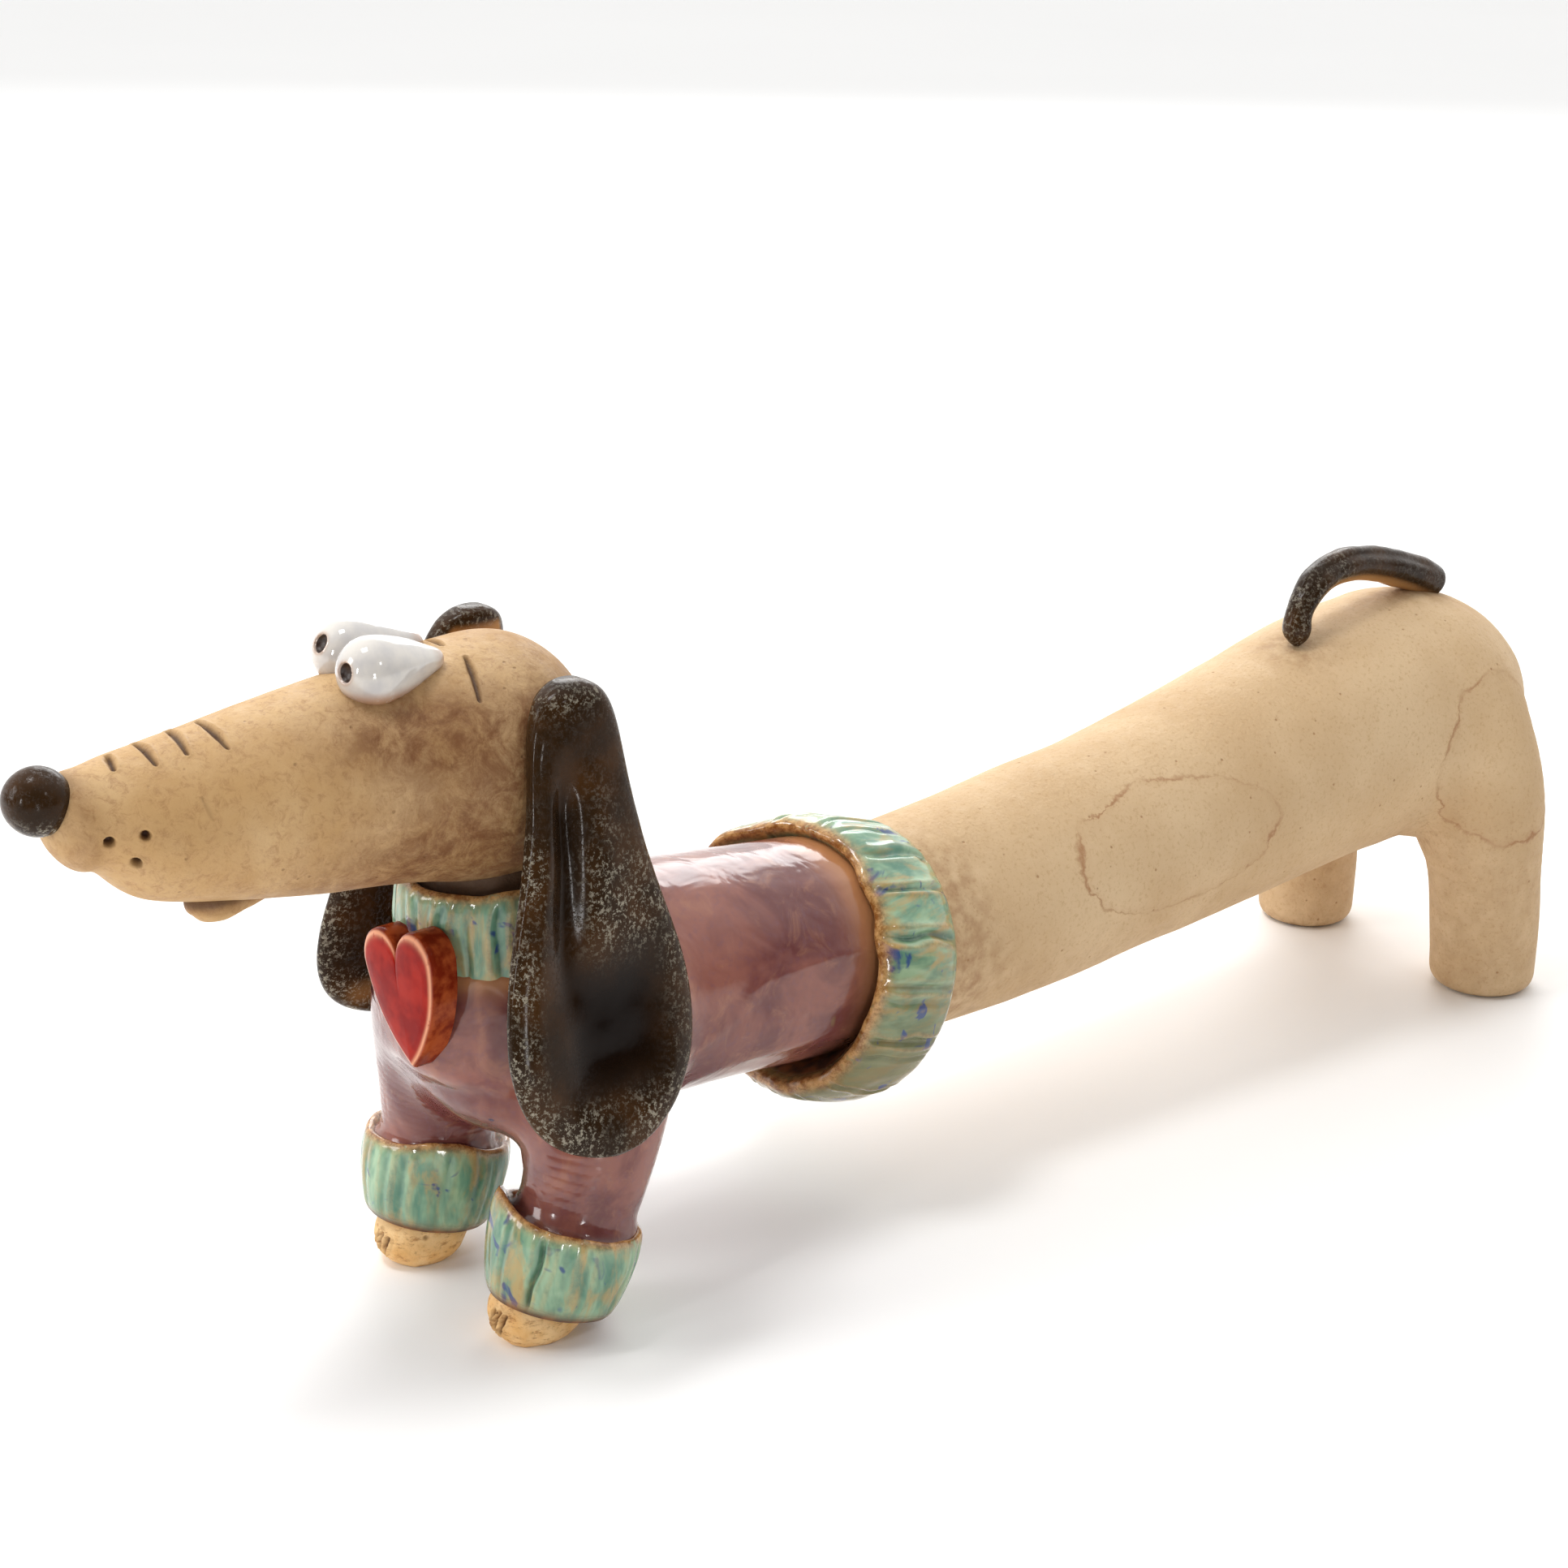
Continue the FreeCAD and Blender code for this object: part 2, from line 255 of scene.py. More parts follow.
class Limb:
    """A round form along a bent axis, (x, y, z, radius) from the top down."""

    STEPS = 30

    def __init__(self, stations, side="left", scale=1.0):
        table = np.array(stations, float)
        table[:, 0] *= 1.0 if side == "left" else -1.0
        table[:, 3] *= scale
        knots = travelled(table[:, :3])
        self.length = knots[-1]
        self.curves = [spline(knots, table[:, k]) for k in range(4)]
        fine = np.linspace(0.0, self.length, self.STEPS + 1)
        self.nodes = np.stack([c(fine) for c in self.curves], axis=-1)

    def field(self, p):
        best = None
        for a, b in zip(self.nodes, self.nodes[1:]):
            distance, t = segment_distance(p, a[:3], b[:3])
            value = distance - (a[3] + (b[3] - a[3]) * t)
            best = value if best is None else np.minimum(best, value)
        return best

    def rays(self, rows, columns, cap_rows):
        """Level rays down the limb, then a fan over its lower end from a little short of the tip."""
        end = self.length - TIP_GAP
        way = np.linspace(0.0, end, rows)
        swing = np.concatenate([np.zeros(rows), np.linspace(0.0, 0.5 * math.pi - 0.004, cap_rows + 1)[1:]])
        way = np.concatenate([way, np.full(cap_rows, end)])
        origin = np.stack([c(way) for c in self.curves[:3]], axis=-1)
        return fan(origin, -swing, columns, (0, 1, 2))


def trace(origin, direction, field, low=0.0, high=60.0, steps=17):
    """How far along each ray the field turns positive, by halving."""
    low = np.zeros(origin.shape[:-1]) + low
    high = np.zeros(origin.shape[:-1]) + high
    for _ in range(steps):
        middle = 0.5 * (low + high)
        inside = field(origin + direction * middle[..., None]) < 0.0
        low = np.where(inside, middle, low)
        high = np.where(inside, high, middle)
    return 0.5 * (low + high)


def first_crossing(origin, direction, field, low, cap, strides=11):
    """Where each ray first leaves the field, looking no further than the cap."""
    start, end = low, low + cap
    found = np.zeros(low.shape, bool)
    for k in range(1, strides + 1):
        at = low + cap * k / strides
        out = (field(origin + direction * at[..., None]) >= 0.0) & ~found
        start = np.where(out, at - cap / strides, start)
        end = np.where(out, at, end)
        found |= out
    return trace(origin, direction, field, start, end, 8)


def grid_normals(points):
    """Normals of a grid whose columns wrap round."""
    down = np.gradient(points, axis=0)
    across = np.roll(points, -1, axis=1) - np.roll(points, 1, axis=1)
    return unit(np.cross(across, down))


def outward(points, centre):
    """Grid normals, turned to face away from the centre."""
    normals = grid_normals(points)
    return normals * np.sign(np.sum((points - centre) * normals))


def blended_skin(rays, own, other, whole, relief, cap, floor=None):
    """The part of the whole surface that belongs to own, and its normals.

    Past the joint it dips below the other piece, where it can't be seen.
    """
    origin, direction = rays

    def shape(field):
        return field if floor is None else (lambda p: smooth_max(field(p), floor - p[..., 2], FOOT_EDGE))

    surface = shape(lambda p: whole(p) - relief(p))
    start = trace(origin, direction, shape(own)) - SLACK
    r = first_crossing(origin, direction, surface, start, cap + SLACK)
    p = origin + direction * r[..., None]
    value = surface(p)
    normals = unit(np.stack([surface(p + NORMAL_STEP * axis) - value for axis in np.eye(3)], axis=-1))
    sink = DIP * ramp(own(p) - other(p), 0.0, DIP_OVER)
    return origin + direction * (r - sink)[..., None], normals


def unevenness(points, seed, bumps):
    """The slight lumps of hand-rolled clay: each bump is (size, height)."""
    return sum(height * noise(points, size, seed + k) for k, (size, height) in enumerate(bumps))


def clay(points, normals, seed, bumps):
    for k, bump in enumerate(bumps):
        points = points + normals * unevenness(points, seed + k, [bump])[..., None]
    return points


def press(points, normals, distance, width, depth, lip=0.25):
    """A groove or dent, with a little clay pushed up beside it."""
    d = distance / width
    shape = -np.exp(-d ** 2) + lip * np.exp(-(d - 1.7) ** 2 / 0.35)
    return points + normals * (depth * shape)[..., None]


def prick(points, normals, at, radius, depth):
    """A hole pushed in with a needle tool: steep walls and a round floor."""
    d = np.linalg.norm(points - np.asarray(at), axis=-1) / radius
    hole = 1.0 - ramp(d, 0.55, 1.05)
    lip = 0.10 * np.exp(-(d - 1.35) ** 2 / 0.06)
    return points + normals * (lip * radius - depth * hole)[..., None], hole


def mesh_object(name, vertices, faces, values=None):
    mesh = bpy.data.meshes.new(name)
    mesh.from_pydata((np.asarray(vertices) * MM).tolist(), [], faces)
    for key, value in (values or {}).items():
        layer = mesh.attributes.new(key, "FLOAT", "POINT")
        layer.data.foreach_set("value", np.asarray(value, np.float32).ravel())
    mesh.polygons.foreach_set("use_smooth", [True] * len(mesh.polygons))
    mesh.validate()
    mesh.update()
    obj = bpy.data.objects.new(name, mesh)
    bpy.context.scene.collection.objects.link(obj)
    return obj


def wrapped_faces(rows, columns, torus=False):
    i = np.arange(rows if torus else rows - 1)
    j = np.arange(columns)
    a = (i[:, None] * columns + j).ravel()
    b = (i[:, None] * columns + (j + 1) % columns).ravel()
    below = (i + 1) % rows
    c = (below[:, None] * columns + (j + 1) % columns).ravel()
    d = (below[:, None] * columns + j).ravel()
    return np.stack([a, b, c, d], axis=-1)


def facing_out(vertices, faces):
    """True if the faces wind so that their volume is positive."""
    v = np.asarray(vertices)
    tri = v[faces[:, :3]]
    return np.einsum("ij,ij->i", tri[:, 0], np.cross(tri[:, 1], tri[:, 2])).sum() > 0.0


def piece(name, points, material, values=None, torus=False, normals=None):
    """A closed piece from a grid of points, standing for its CAD node. Open grids get a fan at each end."""
    rows, columns = points.shape[:2]
    vertices = points.reshape(-1, 3)
    quads = wrapped_faces(rows, columns, torus)
    values = {k: np.asarray(v).reshape(-1) for k, v in (values or {}).items()}
    fans = []
    if not torus:
        first, last = len(vertices), len(vertices) + 1
        vertices = np.vstack([vertices, points[0].mean(axis=0), points[-1].mean(axis=0)])
        for key, value in values.items():
            values[key] = np.concatenate([value, [value[:columns].mean(), value[-columns:].mean()]])
        start = (rows - 1) * columns
        for j in range(columns):
            k = (j + 1) % columns
            fans.append((first, k, j))
            fans.append((last, start + j, start + k))
    if not facing_out(vertices, quads):
        quads = quads[:, ::-1]
        fans = [fan[::-1] for fan in fans]
    obj = mesh_object(name + "_skin", vertices, quads.tolist() + fans, values)
    if normals is not None:
        ends = [normals[0].mean(axis=0), normals[-1].mean(axis=0)]
        every = unit(np.vstack([normals.reshape(-1, 3), ends]))
        obj.data.normals_split_custom_set_from_vertices(every.tolist())
    obj.data.materials.append(material)
    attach(obj, "root")
    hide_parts(name)


# ------------------------------------------------------------------ materials

def linear(red, green, blue):
    """A colour given as 0 to 255 screen values."""
    def one(c):
        c = c / 255.0
        return c / 12.92 if c <= 0.04045 else ((c + 0.055) / 1.055) ** 2.4
    return (one(red), one(green), one(blue), 1.0)


class Finish:
    """A material being built from nodes, in the object's own coordinates."""

    def __init__(self, name, roughness, specular=0.5):
        self.material = bpy.data.materials.new(name)
        self.material.use_nodes = True
        self.tree = self.material.node_tree
        self.shader = self.tree.nodes["Principled BSDF"]
        self.shader.inputs["Roughness"].default_value = roughness
        self.shader.inputs["Specular IOR Level"].default_value = specular
        self.place = self.add("ShaderNodeTexCoord").outputs["Object"]
        self.color = None

    def add(self, kind, settings=None, **inputs):
        node = self.tree.nodes.new(kind)
        for key, value in (settings or {}).items():
            setattr(node, key, value)
        for key, value in inputs.items():
            self.feed(node.inputs[key], value)
        return node

    def feed(self, socket, value):
        if isinstance(value, bpy.types.NodeSocket):
            self.tree.links.new(value, socket)
        else:
            socket.default_value = value

    def noise(self, size_mm, detail=3.0, rough=0.55, warp=0.0, place=None):
        node = self.add("ShaderNodeTexNoise", Vector=place or self.place, Scale=1.0 / (size_mm * MM),
                        Detail=detail, Roughness=rough, Distortion=warp)
        return node.outputs["Fac"]

    def cells(self, size_mm):
        node = self.add("ShaderNodeTexVoronoi", Vector=self.place, Scale=1.0 / (size_mm * MM))
        return node.outputs["Distance"]

    def stretched(self, x, y, z):
        return self.add("ShaderNodeMapping", Vector=self.place, Scale=(x, y, z)).outputs["Vector"]

    def axis(self, name):
        return self.add("ShaderNodeSeparateXYZ", Vector=self.place).outputs[name]

    def value(self, name):
        return self.add("ShaderNodeAttribute", {"attribute_name": name}).outputs["Fac"]

    def span(self, value, low, high, to_low=0.0, to_high=1.0):
        node = self.add("ShaderNodeMapRange", {"interpolation_type": "SMOOTHSTEP"})
        for index, number in enumerate((value, low, high, to_low, to_high)):
            self.feed(node.inputs[index], number)
        return node.outputs["Result"]

    def math(self, operation, a, b=0.0):
        node = self.add("ShaderNodeMath", {"operation": operation})
        self.feed(node.inputs[0], a)
        self.feed(node.inputs[1], b)
        return node.outputs[0]

    def times(self, a, b):
        return self.math("MULTIPLY", a, b)

    def less(self, a, b):
        return self.math("SUBTRACT", a, b)

    def vector(self, operation, a, b=(0.0, 0.0, 0.0)):
        node = self.add("ShaderNodeVectorMath", {"operation": operation})
        self.feed(node.inputs[0], a)
        self.feed(node.inputs[1], b)
        return node.outputs

    def mix(self, factor, a, b):
        node = self.add("ShaderNodeMix", {"data_type": "RGBA"})
        for index, value in ((0, factor), (6, a), (7, b)):
            self.feed(node.inputs[index], value)
        return node.outputs[2]

    def blend(self, factor, a, b):
        """A mix of two screen colours."""
        return self.mix(factor, linear(*a), linear(*b))

    def over(self, mask, tint):
        """Lay a screen colour, or another blend, over the colour so far."""
        tint = linear(*tint) if isinstance(tint, tuple) else tint
        self.color = self.mix(mask, self.color, tint)

    def bump(self, height, depth_mm, strength=1.0, below=None):
        node = self.add("ShaderNodeBump", Height=height, Distance=depth_mm * MM, Strength=strength)
        if below is not None:
            self.feed(node.inputs["Normal"], below)
        return node.outputs["Normal"]

    def done(self, roughness=None, normal=None, coat=0.0, coat_roughness=0.05):
        self.feed(self.shader.inputs["Base Color"], self.color)
        if roughness is not None:
            self.feed(self.shader.inputs["Roughness"], roughness)
        if normal is not None:
            self.feed(self.shader.inputs["Normal"], normal)
        if coat:
            self.shader.inputs["Coat Weight"].default_value = coat
            self.shader.inputs["Coat Roughness"].default_value = coat_roughness
        return self.material


def grit(f, size_mm, depth_mm):
    """Sandy bisque with scattered pits: its normal, and a mask that is 0 in the pits."""
    sand = f.noise(size_mm, 4.0, 0.7)
    pits = f.span(f.cells(4.2), 0.035, 0.085)
    swell = f.bump(f.noise(4.0 * size_mm, 2.0), 2.2 * depth_mm, 0.5)
    grain = f.bump(sand, depth_mm, 0.7, swell)
    return f.bump(pits, 0.18, 0.7, grain), pits


# Water lines on the left flank: (centre of the ellipse, its radii along Y and Z, width of the line)
STAINS = [((20.0, 50.0, 49.0), (25.0, 11.0), 0.030), ((26.0, 134.0, 50.0), (14.0, 16.0), 0.035)]
STAIN_WOBBLE = 0.7


def stain_ring(f, centre, radii, width):
    """A thin wavy water line: an ellipse in Y and Z pushed about by noise."""
    shift = f.vector("SUBTRACT", f.place, [c * MM for c in centre])["Vector"]
    scaled = f.vector("MULTIPLY", shift, [0.0] + [1.0 / (r * MM) for r in radii])["Vector"]
    size = f.vector("LENGTH", scaled)["Value"]
    wave = f.times(f.less(f.noise(11.0, 6.0, 0.58), 0.5), STAIN_WOBBLE)
    off = f.less(f.math("ADD", size, wave), 1.0)
    wide = f.span(f.noise(6.0, 4.0, 0.7), 0.35, 0.70, 0.35 * width, 2.2 * width)
    line = f.less(1.0, f.span(f.math("ABSOLUTE", off), 0.0, wide))
    tide = f.times(f.span(off, -0.16, 0.0, 0.0, 0.16), f.math("LESS_THAN", off, 0.0))
    broken = f.times(line, f.span(f.noise(11.0, 3.0), 0.36, 0.60))
    return f.math("ADD", broken, tide)


def body_clay():
    f = Finish("bisque_body", 0.72, 0.35)
    normal, pits = grit(f, 0.6, 0.17)
    f.color = f.blend(f.span(f.noise(26.0, 4.0), 0.3, 0.7), (200, 168, 127), (214, 185, 146))
    f.over(f.times(f.span(f.noise(0.7, 3.0, 0.7), 0.50, 0.72), 0.45), (176, 136, 92))
    # Brown laid where each piece asks: partly a real wash, partly painted shade and shadow.
    f.over(f.times(f.value("brown_wash_and_shade"), f.span(f.noise(3.0, 4.0), 0.25, 0.8)), (140, 92, 48))
    left_side = f.span(f.axis("X"), 0.006, 0.010)
    for stain in STAINS:
        f.over(f.times(f.times(stain_ring(f, *stain), left_side), 0.60), (150, 94, 50))
    f.over(f.less(0.7, pits), (160, 114, 70))
    return f.done(f.span(f.noise(2.0, 3.0), 0.2, 0.8, 0.62, 0.82), normal)


def head_clay(name="bisque_head", dark=0.0):
    f = Finish(name, 0.62, 0.4)
    normal, pits = grit(f, 0.45, 0.12)
    f.color = f.blend(f.span(f.noise(18.0, 4.0), 0.32, 0.68), (186, 147, 96), (203, 168, 121))
    f.over(f.times(f.span(f.noise(1.6, 6.0, 0.8, 0.6), 0.46, 0.70), 0.55), (142, 98, 56))
    # Mottled brown, partly a real wash and partly painted shade below the eyes, low on the jaw and where the
    # head meets the collar.
    mottled_wash_and_shade = f.times(f.value("brown_wash_and_shade"), f.span(f.noise(5.0, 7.0, 0.78, 0.5), 0.30, 0.64, 0.35, 1.0))
    f.over(f.times(mottled_wash_and_shade, 0.92), (104, 57, 16))
    f.over(f.value("cut"), (66, 36, 16))
    f.over(f.times(f.less(1.0, pits), 0.5), (120, 80, 42))
    # dark lays painted shade over the whole piece.
    f.over(dark, (62, 35, 16))
    return f.done(f.span(f.noise(3.0, 3.0), 0.2, 0.8, 0.50, 0.74), normal)


def paw_clay():
    f = Finish("bisque_paw", 0.7, 0.35)
    normal, pits = grit(f, 0.6, 0.16)
    f.color = f.blend(f.span(f.noise(5.0, 4.0), 0.3, 0.7), (228, 176, 108), (244, 206, 150))
    streak = f.noise(2.2, 5.0, 0.75, place=f.stretched(1.0, 1.0, 2.4))
    f.over(f.span(streak, 0.50, 0.66, 0.0, 0.7), (166, 104, 48))
    f.over(f.value("cut"), (92, 48, 18))
    f.over(f.less(1.0, pits), (128, 78, 38))
    return f.done(None, normal)


def sweater_glaze():
    f = Finish("mauve_glaze", 0.16, 0.36)
    f.color = f.blend(f.span(f.noise(17.0, 4.0, 0.6, 0.6), 0.36, 0.64), (106, 58, 56), (144, 90, 78))
    f.over(f.times(f.span(f.noise(7.0, 4.0, 0.6, 1.0), 0.52, 0.76), 0.45), (176, 122, 92))
    f.over(f.times(f.span(f.noise(1.2, 3.0, 0.6), 0.48, 0.75), 0.28), (112, 76, 90))
    f.over(f.times(f.value("thin"), 0.9), (186, 130, 84))
    f.over(f.times(f.span(f.noise(21.0, 2.0, 0.5, 2.0), 0.70, 0.76), 0.5), (150, 146, 96))
    f.over(f.less(1.0, f.span(f.cells(9.5), 0.045, 0.085)), (44, 38, 74))
    ripple = f.bump(f.noise(7.0, 2.0, 0.5, 0.6), 0.75, 0.6)
    skin = f.bump(f.noise(1.6, 2.0), 0.015, 0.5, ripple)
    return f.done(f.span(f.noise(4.0, 3.0), 0.3, 0.8, 0.12, 0.22), skin, 0.25, 0.06)


def celadon_glaze(name, stretch, shade=0.0):
    """The glaze has run along the ribs, so its streaks are drawn out that way. Shade darkens its low side."""
    f = Finish(name, 0.16, 0.45)
    run = f.stretched(*stretch)
    f.color = f.blend(f.span(f.noise(3.6, 3.0, 0.6, 0.4, run), 0.32, 0.68), (92, 138, 116), (158, 188, 152))
    f.over(f.span(f.noise(3.4, 4.0, 0.6, 0.5, run), 0.45, 0.70, 0.0, 0.9), (184, 156, 100))
    f.over(f.times(f.value("deep"), f.span(f.noise(3.4, 3.0), 0.30, 0.62, 0.2, 0.9)), (38, 88, 76))
    f.over(f.span(f.axis("Z"), 0.056, 0.022, 0.0, shade), (116, 104, 58))
    f.over(f.span(f.noise(5.2, 2.5, 0.6, 0.8), 0.61, 0.69, 0.0, 0.85), (44, 66, 126))
    rust = f.blend(f.span(f.noise(1.8, 5.0, 0.75), 0.36, 0.62), (212, 162, 102), (140, 86, 38))
    f.over(f.times(f.value("bare"), f.span(f.noise(2.4, 4.0, 0.7), 0.22, 0.46)), rust)
    # The inside of the band is dark brown: partly unglazed clay and partly painted shade in the gap round
    # what it wraps.
    inner = f.blend(f.span(f.noise(2.6, 4.0), 0.35, 0.65), (70, 34, 12), (132, 76, 32))
    f.over(f.value("inside"), inner)
    rough = f.math("ADD", f.span(f.noise(3.0, 3.0), 0.3, 0.8, 0.08, 0.20), f.times(f.value("inside"), 0.5))
    return f.done(rough, f.bump(f.noise(3.0, 3.0), 0.16, 0.5), 0.15)


def dark_glaze():
    f = Finish("dark_glaze", 0.22, 0.13)
    f.color = f.blend(f.span(f.noise(9.0, 3.0), 0.35, 0.7), (42, 28, 15), (66, 42, 20))
    zone = f.span(f.noise(7.0, 4.0, 0.6, 0.8), 0.30, 0.56)
    flake = f.times(f.span(f.noise(0.75, 4.0, 0.8), 0.51, 0.60), f.less(1.0, f.value("pool")))
    dust = f.times(flake, f.times(zone, f.value("silver")))
    # Near-black in the dish and the groove: pooled glaze, and painted dark reflection there.
    f.over(f.value("pool"), (16, 7, 3))
    f.over(f.times(dust, 0.85), (164, 156, 138))
    f.over(f.value("lining"), (190, 138, 84))
    pitted = f.bump(flake, 0.05, 0.5)
    return f.done(f.span(dust, 0.0, 1.0, 0.12, 0.40), f.bump(f.noise(5.0, 2.0), 0.11, 0.4, pitted))


def white_glaze():
    f = Finish("white_glaze", 0.10, 0.6)
    f.color = f.blend(f.span(f.noise(4.0, 3.0), 0.3, 0.7), (192, 188, 186), (212, 206, 198))
    f.over(f.times(f.value("bare"), f.span(f.noise(1.3, 4.0, 0.7), 0.2, 0.5)), (176, 128, 90))
    return f.done(None, f.bump(f.noise(2.6, 2.0), 0.10, 0.4), 0.7)


def pupil_oxide():
    f = Finish("pupil_oxide", 0.4, 0.5)
    f.color = f.blend(f.noise(0.5, 3.0), (26, 16, 10), (62, 36, 20))
    return f.done(None, f.bump(f.noise(0.4, 3.0), 0.08, 0.6))


def red_glaze():
    f = Finish("red_glaze", 0.12, 0.07)
    f.color = f.blend(f.span(f.noise(5.0, 3.0), 0.35, 0.65), (128, 14, 9), (158, 32, 20))
    f.over(f.times(f.value("bare"), f.span(f.noise(1.6, 4.0, 0.6), 0.20, 0.45)), (226, 160, 126))
    side = f.blend(f.span(f.noise(2.4, 4.0), 0.35, 0.65), (118, 36, 16), (168, 78, 40))
    f.over(f.value("wall"), side)
    return f.done(None, f.bump(f.noise(2.8, 2.0), 0.10, 0.4))


# ------------------------------------------------------- body, legs and sleeves

rear_tube = Tube(REAR_TUBE, REAR_ENDS)
front_tube = Tube(FRONT_TUBE, FRONT_ENDS)
rear_legs = {side: Limb(REAR_LEG, side, REAR_LEG_SCALE[side]) for side in SIDES}
sleeves = {side: Limb(SLEEVES[side], side) for side in SIDES}


def shoulder_field(p):
    z = p[..., 2]
    part = share((z - SHOULDER_Z[0]) / (SHOULDER_Z[1] - SHOULDER_Z[0]))
    radius = SHOULDER_R[0] + (SHOULDER_R[1] - SHOULDER_R[0]) * part
    side = np.hypot(p[..., 0], p[..., 1] - NECK_Y) - radius
    return smooth_max(smooth_max(side, z - SHOULDER_Z[1], 1.6), SHOULDER_Z[0] - z, 4.0)


def sweater_field(p):
    return smooth_min(front_tube.field(p), shoulder_field(p), 4.0)


def rear_whole(p):
    return smooth_min(rear_tube.field(p), rear_leg_field(p), BLEND)


def rear_leg_field(p):
    return smooth_min(rear_legs["left"].field(p), rear_legs["right"].field(p), 3.0)


def sleeve_field(p):
    return smooth_min(pooled_sleeve("left")(p), pooled_sleeve("right")(p), 6.0)


def sweater_whole(p):
    return smooth_min(sweater_field(p), sleeve_field(p), SLEEVE_BLEND)


def rear_relief(p):
    return unevenness(p, 11, ((16.0, 0.28), (5.5, 0.07)))


def make_rear_body(material):
    points, normals = blended_skin(rear_tube.rays(300, 220), rear_tube.field, rear_leg_field, rear_whole,
                                   rear_relief, REAR_REACH)
    y, z = points[..., 1], points[..., 2]
    # Browner in a band beside the hem cuff and in a patch at the hip, partly stain and partly painted shade
    # where the parts meet.
    hem = bell(y + 2.0, 8.0) * ramp(z, 68.0, 50.0) * ramp(z, 22.0, 36.0)
    hip = bell(y - 121.0, 9.0) * bell(z - 33.0, 7.0)
    # Painted shadow on the back where the tail lies over it.
    tail = bell(path_distance(points, np.array(TAIL)[:, :3]), 6.5)
    # The last term is painted shade that darkens the lower flank.
    brown_wash_and_shade = share(0.65 * hem + 0.35 * hip + 0.9 * tail + 0.24 * ramp(z, 46.0, 26.0))
    piece("rear_body", points, material, {"brown_wash_and_shade": brown_wash_and_shade}, normals=normals)


def make_rear_leg(side, material):
    leg = rear_legs[side]
    points, normals = blended_skin(leg.rays(110, 120, 40), leg.field, rear_tube.field, rear_whole,
                                   rear_relief, REAR_REACH, 0.0)
    points[..., 2] = np.maximum(points[..., 2], 0.0)
    # The foot turns browner in patches at the very bottom; the second term below is painted shade that
    # darkens the lower leg.
    foot = 0.55 * ramp(points[..., 2], 4.0, 0.0) * ramp(noise(points, 5.0, 3), -0.3, 0.6)
    brown_wash_and_shade = share(foot + 0.24 * ramp(points[..., 2], 46.0, 26.0))
    piece(side + "_rear_leg", points, material, {"brown_wash_and_shade": brown_wash_and_shade}, normals=normals)


# Soft folds across the left flank: (path, width, height)
CREASES = [([(17.6, -17.0, 47.0), (18.4, -31.0, 48.5), (18.9, -46.0, 48.0), (18.4, -58.0, 41.0)], 1.6, 0.34),
           ([(15.5, -15.0, 31.0), (16.8, -34.0, 34.0), (16.0, -52.0, 35.0), (15.0, -66.0, 30.0)], 2.4, 0.40),
           ([(12.0, -20.0, 57.0), (11.0, -38.0, 60.0), (8.0, -58.0, 64.0)], 2.0, 0.22)]


def sweater_relief(p):
    height = unevenness(p, 21, ((14.0, 0.30), (5.0, 0.05)))
    for path, width, rise in CREASES:
        height = height + rise * bell(path_distance(p, path), width)
    return height


def make_sweater_body(material):
    points, normals = blended_skin(front_tube.rays(210, 240), sweater_field, sleeve_field, sweater_whole,
                                   sweater_relief, SWEATER_REACH)
    y, z = points[..., 1], points[..., 2]
    thin = bell(y + 20.0, 5.0) + 0.8 * bell(z - 58.5, 1.8) * ramp(y, -62.0, -74.0)
    piece("sweater_body", points, material, {"thin": share(thin)}, normals=normals)


def cuff_axis(side):
    x, y, z = CUFF_BASE[side]
    base = np.array([x if side == "left" else -x, y, z])
    return base, np.array([0.0, math.sin(CUFF_LEAN[side]), math.cos(CUFF_LEAN[side])])


def pooled_sleeve(side):
    """The glaze has pooled in the cuff, so the sleeve flares out to meet its rim."""
    limb = sleeves[side]
    base, axis = cuff_axis(side)

    def field(p):
        along = (p - base) @ axis
        out = np.linalg.norm(p - base - along[..., None] * axis, axis=-1)
        pool = smooth_max(out - POOL_R, along - POOL_TOP, 1.0)
        return smooth_min(limb.field(p), pool, POOL_BLEND)

    return field


def make_sleeve(side, material):
    own = pooled_sleeve(side)
    across = pooled_sleeve("right" if side == "left" else "left")

    def other(p):
        return np.minimum(sweater_field(p), across(p))

    points, normals = blended_skin(sleeves[side].rays(130, 130, 24), own, other, sweater_whole,
                                   sweater_relief, SWEATER_REACH, SLEEVE_FLOOR)
    thin = np.zeros(points.shape[:2])
    piece(side + "_sleeve", points, material, {"thin": thin}, normals=normals)


# ----------------------------------------------------------- ribbed rings

class Ring:
    """An axis to carry a closed section round. The turn starts on the dog's left."""

    def __init__(self, centre, axis):
        self.centre = np.asarray(centre, float)
        self.axis = unit(np.asarray(axis, float))
        across = np.array([1.0, 0.0, 0.0])
        self.u = unit(across - (across @ self.axis) * self.axis)
        self.v = np.cross(self.axis, self.u)

    def points(self, along, radius, turn):
        around = np.cos(turn)[..., None] * self.u + np.sin(turn)[..., None] * self.v
        return self.centre + along[..., None] * self.axis + radius[..., None] * around


def closed_section(corners, rows):
    """A smooth closed loop through the corners, as (along, radius)."""
    p = np.array(corners, float)
    count = len(p)
    lengths = np.linalg.norm(np.roll(p, -1, axis=0) - p, axis=1)
    starts = np.concatenate([[0.0], np.cumsum(lengths)])
    way = np.linspace(0.0, starts[-1], rows, endpoint=False)
    i = np.clip(np.searchsorted(starts, way, side="right") - 1, 0, count - 1)
    t = ((way - starts[i]) / lengths[i])[:, None]
    a, b, c, d = (p[(i + k) % count] for k in (-1, 0, 1, 2))
    return 0.5 * (2 * b + (c - a) * t + (2 * a - 5 * b + 4 * c - d) * t ** 2
                  + (3 * b - a - 3 * c + d) * t ** 3)


